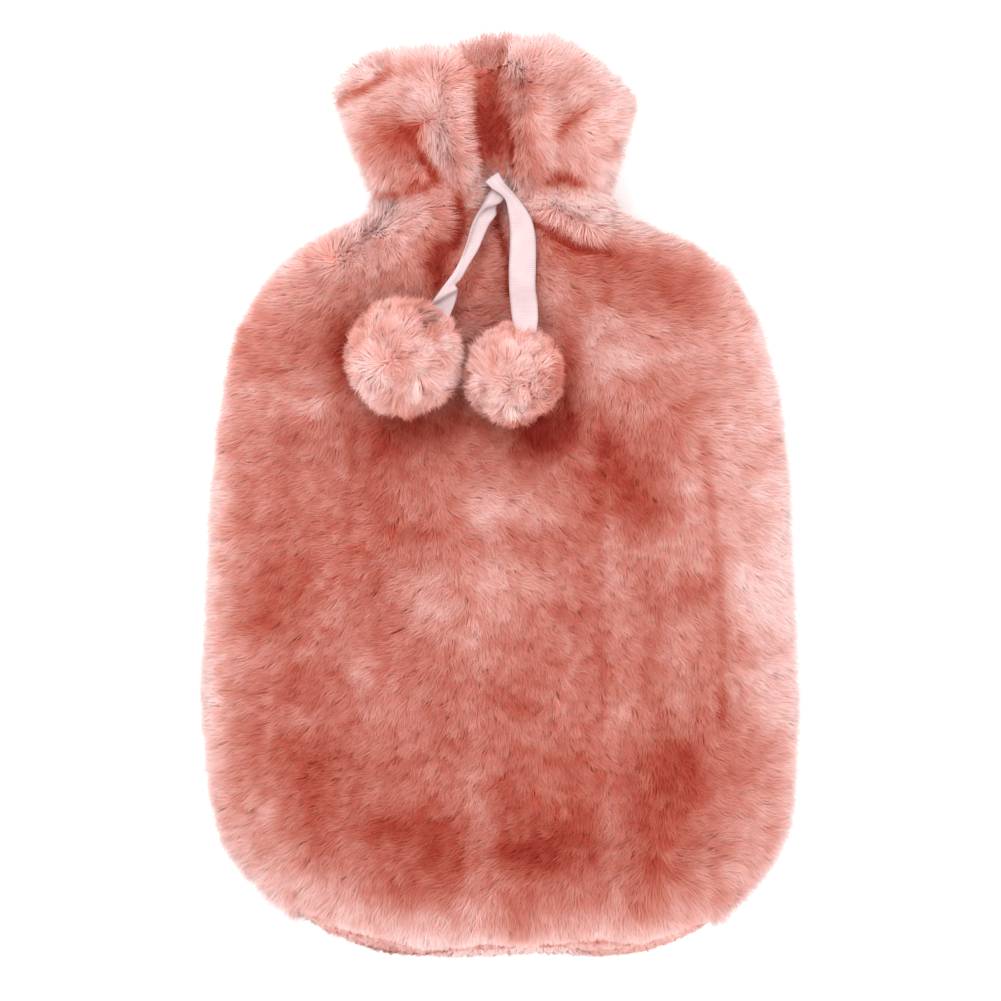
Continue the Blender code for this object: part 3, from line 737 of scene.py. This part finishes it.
def pileTree():
    tree = bpy.data.node_groups.new("plush pile", "GeometryNodeTree")
    inputs = (
        ("Skin", "NodeSocketGeometry", None),
        ("Strands per square metre", "NodeSocketFloat", 2e6),
        ("Strand width", "NodeSocketFloat", 0.0004),
        ("Strand bends", "NodeSocketInt", 2),
        ("Length share", "NodeSocketFloat", 1.0),
        ("Lock size", "NodeSocketFloat", 0.005),
        ("Locks drawn together", "NodeSocketFloat", 0.5),
        ("Locks turned", "NodeSocketFloat", 0.8),
        ("Stray angle", "NodeSocketFloat", 0.35),
        ("Paler by", "NodeSocketFloat", 0.0),
        ("Strand relief", "NodeSocketFloat", 1.0),
        ("Lowest point", "NodeSocketFloat", 0.0004),
        ("Seed", "NodeSocketInt", 1),
        ("Material", "NodeSocketMaterial", None),
    )
    for name, kind, value in inputs:
        socket = tree.interface.new_socket(name, in_out="INPUT", socket_type=kind)
        if value is not None:
            socket.default_value = value
    tree.interface.new_socket("Pile", in_out="OUTPUT", socket_type="NodeSocketGeometry")
    bench = Bench(tree)
    start = bench.node("NodeGroupInput", {}, {})
    given = {socket.name: Wire(bench, socket) for socket in start.outputs if socket.name}

    def held(name, kind="FLOAT"):
        return bench.wire("GeometryNodeInputNamedAttribute", {"data_type": kind}, {"Name": name}, "Attribute")

    def heldWay(name):
        return held(name, "FLOAT_VECTOR")

    def keep(geometry, name, value, kind="FLOAT", domain="POINT"):
        settings = {"data_type": kind, "domain": domain}
        values = {"Geometry": geometry, "Name": name, "Value": value}
        return bench.wire("GeometryNodeStoreNamedAttribute", settings, values)

    def moved(geometry, place):
        return bench.wire("GeometryNodeSetPosition", {}, {"Geometry": geometry, "Position": place})

    def dice(low, high, seed):
        made = bench.node("FunctionNodeRandomValue", {"data_type": "FLOAT"}, {"Min": low, "Max": high})
        bench.tree.links.new((given["Seed"] + seed).socket, bench.findInput(made, "Seed"))
        return Wire(bench, next(socket for socket in made.outputs if socket.enabled))

    spread = bench.wire(
        "GeometryNodeDistributePointsOnFaces",
        {"distribute_method": "RANDOM"},
        {"Mesh": given["Skin"], "Density": given["Strands per square metre"], "Seed": given["Seed"]},
        "Points",
    )
    root = bench.wire("GeometryNodeInputPosition", {}, {})
    up, comb = heldWay("up").unit(), heldWay("comb").unit()
    across = up.cross(comb)

    # strands lean as their lock does, each a little astray
    cell = {"Vector": root, "Scale": 1.0 / given["Lock size"], "Randomness": 1.0}
    lock = bench.wire("ShaderNodeTexVoronoi", {}, cell, "Color")
    wisps = {"Vector": root, "Scale": strand["wisps per metre"], "Detail": 1.0}
    wisp = bench.wire("ShaderNodeTexNoise", {}, wisps, 0)
    astray = dice(-1.0, 1.0, 11) * (given["Stray angle"] + held("wild") * strand["wild"])
    astray = astray + (wisp - 0.5) * strand["wisps"]
    astray = astray + (lock.part(0) - 0.5) * given["Locks turned"]
    way = comb * astray.cos() + across * astray.sin()
    length = held("length") * dice(strand["shortest"], strand["longest"], 12) * given["Length share"]
    lift = held("lift") + dice(-strand["lift varies"], strand["lift varies"], 13)
    rise = up * (length * lift.sin())
    run = way * (length * lift.cos())

    # tips of one lock draw together
    toCentre = bench.wire("ShaderNodeTexVoronoi", {}, cell, "Position") - root
    toCentre = toCentre - up * toCentre.dot(up)
    pull = toCentre * given["Locks drawn together"]

    lean = (rise + run + pull).unit()
    level = lean.cross(up).unit()
    twist = dice(-strand["twist"], strand["twist"], 14)
    edge = level * twist.cos() + lean.cross(level) * twist.sin()
    # the strand's lit side looks outward, and upward at the silhouette
    skyward = bench.vector(0.0, 0.0, (up.part(2) + 1.2).atLeast(0.0).atMost(1.0))
    edge = edge * edge.cross(lean).dot(up * 0.4 + skyward).sign()
    face = edge.cross(lean)
    # the shade is the skin's below the tip
    tip = {"Mesh": given["Skin"], "Value": held("tone"), "Sample Position": root + rise * 0.5 + run * 0.7}
    tone = bench.wire("GeometryNodeSampleNearestSurface", {"data_type": "FLOAT"}, tip, "Value")
    tone = tone + dice(-strand["shade varies"], strand["shade varies"], 15)
    tone = tone + (lock.part(1) - 0.5) * strand["lock's shade varies"] + given["Paler by"]

    points = spread
    ways = {"root": root, "rise": rise, "run": run, "pull": pull, "edge": edge, "face": face}
    for name, value in ways.items():
        points = keep(points, name, value, "FLOAT_VECTOR")
    points = keep(points, "shade", tone)

    # one strand: a strip that ends in a point
    grid = {"Size X": 1.0, "Size Y": 1.0, "Vertices X": 2, "Vertices Y": given["Strand bends"] + 1}
    strip = bench.wire("GeometryNodeMeshGrid", {}, grid, "Mesh")
    place = bench.wire("GeometryNodeInputPosition", {}, {})
    along = place.part(1) + 0.5
    narrowed = place.part(0) * (1.0 - along.isOver(0.9))
    strip = keep(strip, "along", along)
    strip = keep(strip, "side", narrowed * 2.0)
    strip = moved(strip, bench.vector(narrowed, along, 0.0))
    strip = bench.wire("GeometryNodeMergeByDistance", {}, {"Geometry": strip, "Distance": 0.01})

    strands = bench.wire("GeometryNodeInstanceOnPoints", {}, {"Points": points, "Instance": strip})
    strands = bench.wire("GeometryNodeRealizeInstances", {}, {"Geometry": strands})

    along, side = held("along"), held("side")
    early = strand["stands before it lies"]
    upright = along * ((1.0 + early) - early * along)
    over = along * ((1.0 - early) + early * along)
    width = given["Strand width"] * (0.5 - strand["narrows"] * along)
    point = heldWay("root") + heldWay("rise") * upright + heldWay("run") * over
    point = point + heldWay("pull") * (along * along) + heldWay("edge") * (side * width)
    high = point.part(2).atLeast(given["Lowest point"])
    strands = moved(strands, bench.vector(point.part(0), point.part(1), high))

    # soft shading: mostly the skin's own, rounded over each lock and strand, and more upward at the sides
    skinUp = heldWay("up").unit()
    soft = skinUp - heldWay("pull") * (strand["rounded over a lock"] / given["Lock size"])
    upward = bench.vector(0.0, 0.0, (1.0 - skinUp.part(2).magnitude()) * strand["upward at the sides"])
    crosswise, facing = strand["rounded over a strand"]
    relief = heldWay("edge") * (side * crosswise) + heldWay("face") * facing
    soft = soft + upward + relief * given["Strand relief"]
    strands = keep(strands, "soft", soft.unit(), "FLOAT_VECTOR")
    # the colour map: shade across, root to tip upward
    mapped = bench.vector(held("shade") + side * 0.006, 0.01 + 0.98 * along, 0.0)
    mapped = mapped.atMost((0.995, 0.995, 0.0)).atLeast((0.005, 0.005, 0.0))
    strands = keep(strands, "OFBake", mapped, "FLOAT2", "CORNER")
    strands = bench.wire("GeometryNodeSetMaterial", {}, {"Geometry": strands, "Material": given["Material"]})
    bench.node("NodeGroupOutput", {}, {0: strands})
    return tree


skinNames = ("up", "comb", "tone", "length", "lift", "wild")
workingNames = (*skinNames, "root", "rise", "run", "pull", "edge", "face", "shade", "along", "side", "soft")


def triangles(mesh):
    return sum(len(face.vertices) - 2 for face in mesh.polygons)


def growPile(name, skin, tree, settings):
    thing = newObject(name, skin)
    modifier = thing.modifiers.new("pile", "NODES")
    modifier.node_group = tree
    for item in tree.interface.items_tree:
        if item.in_out == "INPUT" and item.name in settings:
            modifier[item.identifier] = settings[item.name]
    mesh = madeMesh(thing)
    thing.modifiers.clear()
    thing.data = mesh
    mesh.name = name
    soft = readVectors(mesh.attributes["soft"].data, "vector")
    mesh.shade_smooth()
    mesh.normals_split_custom_set_from_vertices(soft.tolist())
    for attribute in list(mesh.attributes):
        if attribute.name in workingNames:
            mesh.attributes.remove(attribute)
    print(name, "triangles:", triangles(mesh))
    return thing


pileLook = {
    "roughness": 0.7,
    "sheen": 0.14,
    "painted root shade and tip light": 0.14,
    "stops": [
        (0.0, (164, 45, 33)), (0.2, (192, 80, 63)), (0.4, (208, 118, 101)), (0.55, (220, 144, 130)),
        (0.7, (232, 170, 159)), (0.85, (242, 196, 189)), (1.0, (248, 218, 215)),
    ],
}


def pileMaterial():
    sheen = {"Sheen_Weight": pileLook["sheen"], "Sheen_Roughness": 0.4}
    looks = {"Roughness": pileLook["roughness"], "Specular_IOR_Level": 0.15}
    material, bench, shader = newMaterial("front pile", **looks, **sheen)
    place = bench.wire("ShaderNodeUVMap", {"uv_map": "OFBake"}, {})
    # painted shade at the strands' roots and painted light at their tips
    paleness = place.part(0) + (place.part(1) - 0.55) * pileLook["painted root shade and tip light"]
    colourBy(bench, shader, paleness, pileLook["stops"])
    return material


topPile = {
    "Strands per square metre": 5.4e6,
    "Strand width": 0.00032,
    "Strand bends": 1,
    "Length share": 0.8,
    "Lock size": 0.0036,
    "Locks drawn together": 0.6,
    "Stray angle": 0.4,
    "Paler by": 0.02,
}
underPile = {
    **topPile,
    "Strands per square metre": 1.4e6,
    "Strand width": 0.0011,
    "Length share": 0.62,
    "Locks drawn together": 0.2,
    # darker underpile: painted shade in the gaps between the locks
    "Paler by": -0.08,
}
backPile = {**topPile, "Strands per square metre": 1.7e6, "Strand width": 0.00065}


def partOf(mesh, name, low, high):  # a copy with only the faces from y low to y high
    bm = bmesh.new()
    bm.from_mesh(mesh)
    gone = [face for face in bm.faces if not low * mm < face.calc_center_median().y <= high * mm]
    bmesh.ops.delete(bm, geom=gone, context="FACES")
    return meshFrom(bm, name)


def areaOf(mesh):
    return round(sum(face.area for face in mesh.polygons), 4)


def addPiece(name, mesh, material, slotName, *nodes):
    mesh.name = name
    mesh.materials.append(material)
    thing = newObject(name, mesh)
    dressUp(thing, slotName, *nodes)
    return thing


def dressUp(thing, slotName, *nodes):
    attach(thing, "root")
    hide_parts(*nodes)


def thicken(thing, thickness, offset):
    layer = thing.modifiers.new("thickness", "SOLIDIFY")
    layer.thickness = thickness * mm
    layer.offset = offset


backingLook = {
    "knit per metre": 320.0,
    "hem from": -0.16,  # metres: below it the backing is the hem's greyish pink
    "stops": [(0.1, (176, 70, 58)), (0.4, (214, 112, 98)), (0.6, (186, 134, 130)), (0.9, (208, 160, 158))],
}


def backingMaterial():
    material, bench, shader = newMaterial("plush backing", Roughness=0.85, Specular_IOR_Level=0.2)
    place = bench.wire("ShaderNodeTexCoord", {}, {}, "Object")
    bands = {"wave_type": "BANDS", "bands_direction": "X"}
    knitting = {"Vector": place, "Scale": backingLook["knit per metre"], "Distortion": 1.5}
    knit = bench.wire("ShaderNodeTexWave", bands, knitting, 1)
    tone = bench.wire("ShaderNodeTexNoise", {}, {"Vector": place, "Scale": 90.0}, 0)
    atHem = ((backingLook["hem from"] - place.part(1)) * 100.0).atLeast(0.0).atMost(1.0)
    paleness = (knit * 0.4 + tone * 0.6) * 0.5 + atHem * 0.5
    colourBy(bench, shader, paleness, backingLook["stops"])
    bumpBy(bench, shader, knit, 0.4, 0.0004)
    return material


tree = pileTree()
pileFinish = pileMaterial()
backing = backingMaterial()

coarseFront, coarseBack = plushSkin("front_panel", 1), plushSkin("back_panel", -1)
frontSkin = dressSkin(subdivided(coarseFront.copy(), plush["fineness"][1]), 1, combFront)
backSkin = dressSkin(subdivided(coarseBack.copy(), plush["fineness"][-1]), -1, combBack)
frontPelt = addPiece("front_plush", subdivided(coarseFront, 1), backing, "plush_front", "front_panel")
backPelt = addPiece("back_plush", subdivided(coarseBack, 1), backing, "plush_back", "back_panel")
thicken(frontPelt, plush["backing"], -1.0)
thicken(backPelt, plush["backing"], -1.0)
print("skins:", areaOf(frontSkin), areaOf(backSkin), len(frontSkin.polygons), len(backSkin.polygons))

# name, skin, from y, to y, settings
pileParts = [
    ("front_pile_collar", frontSkin, 100, 200, topPile),
    ("front_pile_top", frontSkin, 20, 100, topPile),
    ("front_pile_middle", frontSkin, -75, 20, topPile),
    ("front_pile_bottom", frontSkin, -200, -75, topPile),
    ("front_underpile_top", frontSkin, 0, 200, underPile),
    ("front_underpile_bottom", frontSkin, -200, 0, underPile),
    ("back_pile", backSkin, -200, 200, backPile),
]
for index, (name, skin, low, high, settings) in enumerate(pileParts):
    settings = {**settings, "Seed": 20 + index, "Lowest point": 0.0004, "Material": pileFinish}
    pile = growPile(name, partOf(skin, name, low, high), tree, settings)
    isFront = skin is frontSkin
    dressUp(pile, "plush_front" if isFront else "plush_back", "front_panel" if isFront else "back_panel")


# The pompoms, cut from the same plush and drawn up round a filling

pompoms = {
    "core share": 0.8,  # of the radius, where the backing is
    "length share": 0.36,
    "lift": 36.0,  # of the strands over the backing
    "paleness": 0.75,
    "clouds": 0.16,
    "painted shade below": 0.4,
    "swirl": 2.4,
    "lumps": 0.06,
    "length varies": 0.15,
    "shorter below": 0.2,
    "strands": {
        **topPile,
        "Strands per square metre": 7.4e6,
        "Strand width": 0.00026,
        "Strand bends": 2,
        "Length share": 1.0,
        "Lock size": 0.0056,
        "Locks drawn together": 0.8,
        "Stray angle": 0.22,
        "Locks turned": 1.7,
        "Strand relief": 0.45,
    },
    "undercoat": {
        **underPile,
        "Strands per square metre": 3.2e6,
        "Length share": 0.8,
        "Lock size": 0.0056,
        # a little darker: painted shade in the gaps between the locks
        "Paler by": -0.03,
        "Strand relief": 0.45,
    },
    # where the pile parts, as a direction from the middle; deep and pale places, as direction, spread and
    # paleness, partly painted shade at the rim and partly the pile's own patches; how far it lies over to
    # one side; and its size against the CAD ball
    "left": {
        "node": "pompom_left",
        "parting": (-0.3, 0.0, 0.95),
        "places": [
            ((-0.65, -0.6, 0.3), 0.4, 0.2), ((0.8, -0.1, 0.4), 0.6, 0.08), ((0.0, -0.1, 1.0), 0.4, -0.08),
            ((0.55, 0.5, 0.65), 0.28, -0.18), ((-0.8, 0.5, 0.3), 0.45, -0.12),
            ((-0.1, -0.9, 0.3), 0.4, -0.14), ((0.1, -0.5, 0.8), 0.25, 0.08),
        ],
        "over": (1.0, -1.6),
        "size": 0.96,
    },
    "right": {
        "node": "pompom_right",
        "parting": (0.25, -0.55, 0.8),
        "places": [
            ((-0.35, 0.35, 0.8), 0.35, -0.08), ((0.35, -0.5, 0.8), 0.2, -0.08),
            ((-0.7, 0.6, 0.3), 0.35, 0.08), ((-0.1, -0.7, 0.6), 0.4, 0.08),
            ((0.9, -0.1, 0.3), 0.5, -0.3), ((0.4, -0.9, 0.2), 0.35, -0.12),
        ],
        "over": (-0.9, -0.8),
        "size": 0.92,
    },
}


def pompomSkin(form):
    low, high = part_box(form["node"])
    middle = (low + high) / 2
    radius = form["size"] * (high.x - low.x) / 2
    middle += Vector((*form["over"], 0)) * mm
    middle.z = high.z - radius * 0.95
    bm = bmesh.new()
    bmesh.ops.create_icosphere(bm, subdivisions=5, radius=1.0)
    mesh = meshFrom(bm, form["node"] + "_skin")
    up = readVectors(mesh.vertices, "co")
    up /= np.linalg.norm(up, axis=1, keepdims=True)
    parting = np.array(form["parting"]) / np.linalg.norm(form["parting"])
    away = up - parting
    nearness = np.exp(-np.sum(away ** 2, 1) / 0.2)
    swirl = away + 0.4 * np.cross(up, parting)
    swirl += pompoms["swirl"] * np.stack([cloud(up, size=520.0, seed=4.0 + axis) for axis in range(3)], 1)
    tone = pompoms["paleness"] + pompoms["clouds"] * cloud(up, size=330.0, seed=2.0)
    for way, spread, amount in form["places"]:
        way = np.array(way) / np.linalg.norm(way)
        tone += amount * np.exp(-np.sum((up - way) ** 2, 1) / spread ** 2)
    # painted shade on the pompom's underside
    tone -= pompoms["painted shade below"] * np.clip(0.5 - up[:, 2], 0, 1)
    lumps = 1 + pompoms["lumps"] * cloud(up, size=500.0, seed=9.0)
    core = up * lumps[:, None] * radius * pompoms["core share"] + np.array(middle)
    mesh.vertices.foreach_set("co", core.astype(np.float32).ravel())
    uneven = 1 + pompoms["length varies"] * cloud(up, size=260.0, seed=6.0)
    below = np.clip(-up[:, 2], 0, 1)
    length = pompoms["length share"] * radius * uneven * (1 - pompoms["shorter below"] * below)
    lift = np.full(len(up), math.radians(pompoms["lift"]))
    tone = np.clip(tone, 0.05, 0.97)
    wild = 0.2 + 0.3 * nearness
    setFields(mesh, up=up, comb=layFlat(swirl, up), tone=tone, length=length, lift=lift, wild=wild)
    mesh.shade_smooth()
    return mesh


def plainBall(skin, name):  # the pompom's body under its pile
    ball = skin.copy()
    for attribute in skinNames:
        ball.attributes.remove(ball.attributes[attribute])
    bm = bmesh.new()
    bm.from_mesh(ball)
    bmesh.ops.unsubdivide(bm, verts=bm.verts, iterations=2)
    bm.to_mesh(ball)
    bm.free()
    ball.name = name
    return ball


for index, side in enumerate(("left", "right")):
    node = pompoms[side]["node"]
    skin = pompomSkin(pompoms[side])
    ballName = side + "_pompom_ball"
    ball = addPiece(ballName, plainBall(skin, ballName), backing, "pompom_yarn", node)
    for layer, name, seed in (("strands", "pile", 51), ("undercoat", "underpile", 50)):
        own = {"Seed": seed + 2 * index, "Lowest point": 0.03, "Material": pileFinish}
        pile = growPile(side + "_pompom_" + name, skin.copy(), tree, {**pompoms[layer], **own})
        dressUp(pile, "pompom_yarn", node)


# The ribbon tie

ribbon = {
    "width": 10.8,
    "thickness": 0.5,
    "step": 1.0,
    "columns": 8,
    "gathered share": 0.72,  # of its width, in the casing round the neck
    "casing": {"y": 126.1, "middle": -3.6, "half width": 45.6},
    "casing in front": (2.3, 11.0),  # how full its curve is, and its height from the seam
    "casing behind": (3.2, -16.0),
    "casing angles": (94.0, 438.0, 44),  # from, to, rungs
    "rib pitch": 0.8,
    "selvedge": 0.43,  # from the middle, in widths
    "stops": [(0.0, (178, 147, 151)), (0.5, (204, 180, 182)), (1.0, (224, 203, 206))],
}

# Rungs across the ribbon, as seen from above: x and y of one edge, of its middle or fold, and of the other,
# then their heights. The right leg runs up from the pompom to the eyelet, and the left one down from it,
# folded lengthwise and then turned.
rightLeg = [
    (7.2, 62.6, 10.6, 62.4, 13.8, 62.2, 68.0, 68.7, 68.0),
    (6.0, 66.2, 10.4, 66.0, 14.6, 66.0, 78.5, 79.2, 78.5),
    (5.0, 70.6, 10.1, 70.6, 15.2, 70.6, 76.0, 76.8, 76.0),
    (4.2, 77.4, 9.6, 77.4, 15.0, 77.4, 69.0, 69.8, 69.0),
    (3.6, 84.7, 8.9, 84.5, 14.2, 84.3, 60.5, 61.3, 60.5),
    (3.6, 92.7, 9.0, 92.7, 14.4, 92.7, 56.0, 56.8, 56.0),
    (4.0, 100.7, 9.2, 100.7, 14.4, 100.7, 54.8, 55.6, 54.8),
    (4.0, 107.5, 8.9, 107.1, 13.8, 106.7, 54.2, 55.0, 54.2),
    (3.3, 114.0, 7.7, 113.2, 12.1, 112.2, 54.4, 55.4, 54.2),
    (2.0, 119.2, 5.4, 118.4, 8.7, 117.4, 54.4, 55.6, 54.0),
    (-0.2, 121.6, 2.8, 121.8, 5.2, 121.8, 54.2, 55.6, 53.4),
    (-3.0, 123.2, -0.4, 124.6, 2.0, 125.4, 53.6, 54.6, 52.6),
    (-5.9, 126.0, -3.2, 128.2, -0.6, 130.0, 52.4, 52.8, 51.4),
    (-5.7, 125.8, -3.0, 128.0, -0.4, 129.8, 51.2, 51.6, 50.2),
    (-4.8, 124.8, -2.9, 126.2, -1.2, 127.4, 42.0, 42.4, 41.6),
]
leftLeg = [
    (2.4, 122.0, -1.2, 125.2, 1.2, 123.6, 50.0, 49.0, 47.0),
    (1.2, 118.8, -4.0, 122.0, -0.4, 119.6, 51.5, 50.5, 49.5),
    (-1.2, 117.2, -6.8, 117.2, -1.6, 115.6, 53.0, 51.8, 50.8),
    (-5.6, 116.0, -9.2, 113.2, -1.6, 112.8, 54.8, 53.7, 52.5),
    (-9.2, 112.4, -11.4, 108.4, -4.2, 109.2, 56.4, 55.2, 54.0),
    (-11.4, 107.1, -12.8, 103.1, -6.8, 103.5, 58.2, 57.2, 56.0),
    (-13.4, 100.7, -13.9, 98.3, -9.1, 98.3, 60.2, 59.4, 58.6),
    (-16.2, 94.3, -15.2, 93.9, -12.6, 92.7, 61.4, 61.4, 60.8),
    (-19.6, 88.3, -18.0, 87.9, -15.8, 87.1, 61.8, 62.2, 61.2),
    (-23.6, 82.9, -20.9, 83.9, -18.0, 84.7, 62.2, 62.8, 61.6),
    (-27.7, 77.0, -22.5, 80.1, -17.1, 83.1, 62.8, 63.2, 62.2),
    (-27.5, 76.2, -22.3, 79.0, -17.1, 81.9, 60.8, 61.0, 60.4),
    (-26.7, 74.2, -22.1, 76.2, -17.7, 78.7, 61.0, 60.8, 60.2),
    (-25.3, 70.6, -22.5, 71.4, -19.7, 73.4, 61.6, 61.4, 61.0),
    (-24.6, 67.2, -23.3, 67.8, -21.7, 69.0, 62.6, 62.8, 62.4),
]


def seenFromAbove(x, y, z):  # the place at height z that the camera sees where (x, y) on the seam would be
    nearer = (studio["camera height"] - z) / (studio["camera height"] - studio["seam height"])
    axisX, axisY = studio["looks at"]
    return axisX + (x - axisX) * nearer, axisY + (y - axisY) * nearer, z


def legRungs(table):
    rungs = []
    for ax, ay, mx, my, bx, by, az, mz, bz in table:
        rungs.append((*seenFromAbove(ax, ay, az), *seenFromAbove(mx, my, mz), *seenFromAbove(bx, by, bz)))
    return rungs


def casingRungs():
    casing = ribbon["casing"]
    half = ribbon["width"] * ribbon["gathered share"] / 2
    rungs = []
    for angle in np.linspace(*ribbon["casing angles"]):
        a, o = math.cos(math.radians(angle)), math.sin(math.radians(angle))
        fullness, high = ribbon["casing in front" if o > 0 else "casing behind"]
        z = studio["seam height"] + high * (1 - min(abs(a), 1.0) ** fullness) ** (1 / fullness)
        x = casing["middle"] + casing["half width"] * a
        rungs.append((x, casing["y"] - half, z, x, casing["y"], z, x, casing["y"] + half, z))
    return rungs


def resampled(rows, step):  # even steps along a smooth line through the rungs
    middle = rows[:, 3:6]
    reach = np.concatenate([[0], np.cumsum(np.linalg.norm(np.diff(middle, axis=0), axis=1))])
    at = np.linspace(0, reach[-1], int(reach[-1] / step) + 1)
    slopes = np.gradient(rows, reach, axis=0)
    i = np.clip(np.searchsorted(reach, at) - 1, 0, len(reach) - 2)
    span = (reach[i + 1] - reach[i])[:, None]
    t = (at - reach[i])[:, None] / span
    values = (1 + 2 * t) * (1 - t) ** 2 * rows[i] + t * t * (3 - 2 * t) * rows[i + 1]
    values += span * t * (1 - t) * ((1 - t) * slopes[i] - t * slopes[i + 1])
    return values, at


def ribbonMesh():
    rungs = np.array(legRungs(rightLeg) + casingRungs() + legRungs(leftLeg))
    rows, at = resampled(rungs, ribbon["step"])
    half = ribbon["columns"] // 2
    bm = bmesh.new()
    grid = []
    for row, run in zip(rows, at):
        edge, fold, other = (Vector(row[k:k + 3]) for k in (0, 3, 6))
        near, far = (fold - edge).length, (other - fold).length
        line = []
        for k in range(ribbon["columns"] + 1):
            share = k / half
            place = edge.lerp(fold, share) if share <= 1 else fold.lerp(other, share - 1)
            across = (share * near if share <= 1 else near + (share - 1) * far) / (near + far)
            line.append((bm.verts.new(place * mm), across, run))
        grid.append(line)
    mapping = bm.loops.layers.uv.new("weave")
    for lower, upper in zip(grid, grid[1:]):
        for k in range(ribbon["columns"]):
            corners = (lower[k], lower[k + 1], upper[k + 1], upper[k])
            face = bm.faces.new([corner[0] for corner in corners])
            for loop, (_, across, run) in zip(face.loops, corners):
                loop[mapping].uv = (across, run / ribbon["width"])
    mesh = meshFrom(bm, "ribbon_tie")
    mesh.shade_smooth()
    return mesh, at[-1]


def satinMaterial():
    looks = {"Roughness": 0.45, "Specular_IOR_Level": 0.35, "Sheen_Weight": 0.1}
    material, bench, shader = newMaterial("ribbon satin", **looks)
    place = bench.wire("ShaderNodeUVMap", {"uv_map": "weave"}, {})
    across, along = place.part(0), place.part(1)
    ribs = (along * (ribbon["width"] / ribbon["rib pitch"] * 2 * math.pi)).sin() * 0.5 + 0.5
    # the selvedge: raised in the bump, and darker in the colour as painted edge shade
    selvedge = (((across - 0.5).magnitude() - ribbon["selvedge"]) * 30.0).atLeast(0.0).atMost(1.0)
    # random paler and darker patches: painted light and shade on the satin
    paintedShading = bench.wire("ShaderNodeTexNoise", {}, {"Vector": place, "Scale": 1.5}, 0)
    paleness = 0.55 + (ribs - 0.5) * 0.35 + (paintedShading - 0.5) * 0.5 - selvedge * 0.25
    colourBy(bench, shader, paleness, ribbon["stops"])
    bumpBy(bench, shader, ribs * 0.7 + selvedge * 0.6, 0.35, 0.0002)
    return material


mesh, ribbonLength = ribbonMesh()
tie = addPiece("ribbon_tie", mesh, satinMaterial(), "satin", "ribbon")
thicken(tie, ribbon["thickness"], 0.0)
print("ribbon length", round(ribbonLength, 1))

round(ribbonLength * mm, 3)

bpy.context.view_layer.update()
graph = bpy.context.evaluated_depsgraph_get()
counts = {thing.name: triangles(thing.evaluated_get(graph).to_mesh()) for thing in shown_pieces()}
for name, count in counts.items():
    print("   ", name, count)
print("all triangles", sum(counts.values()))
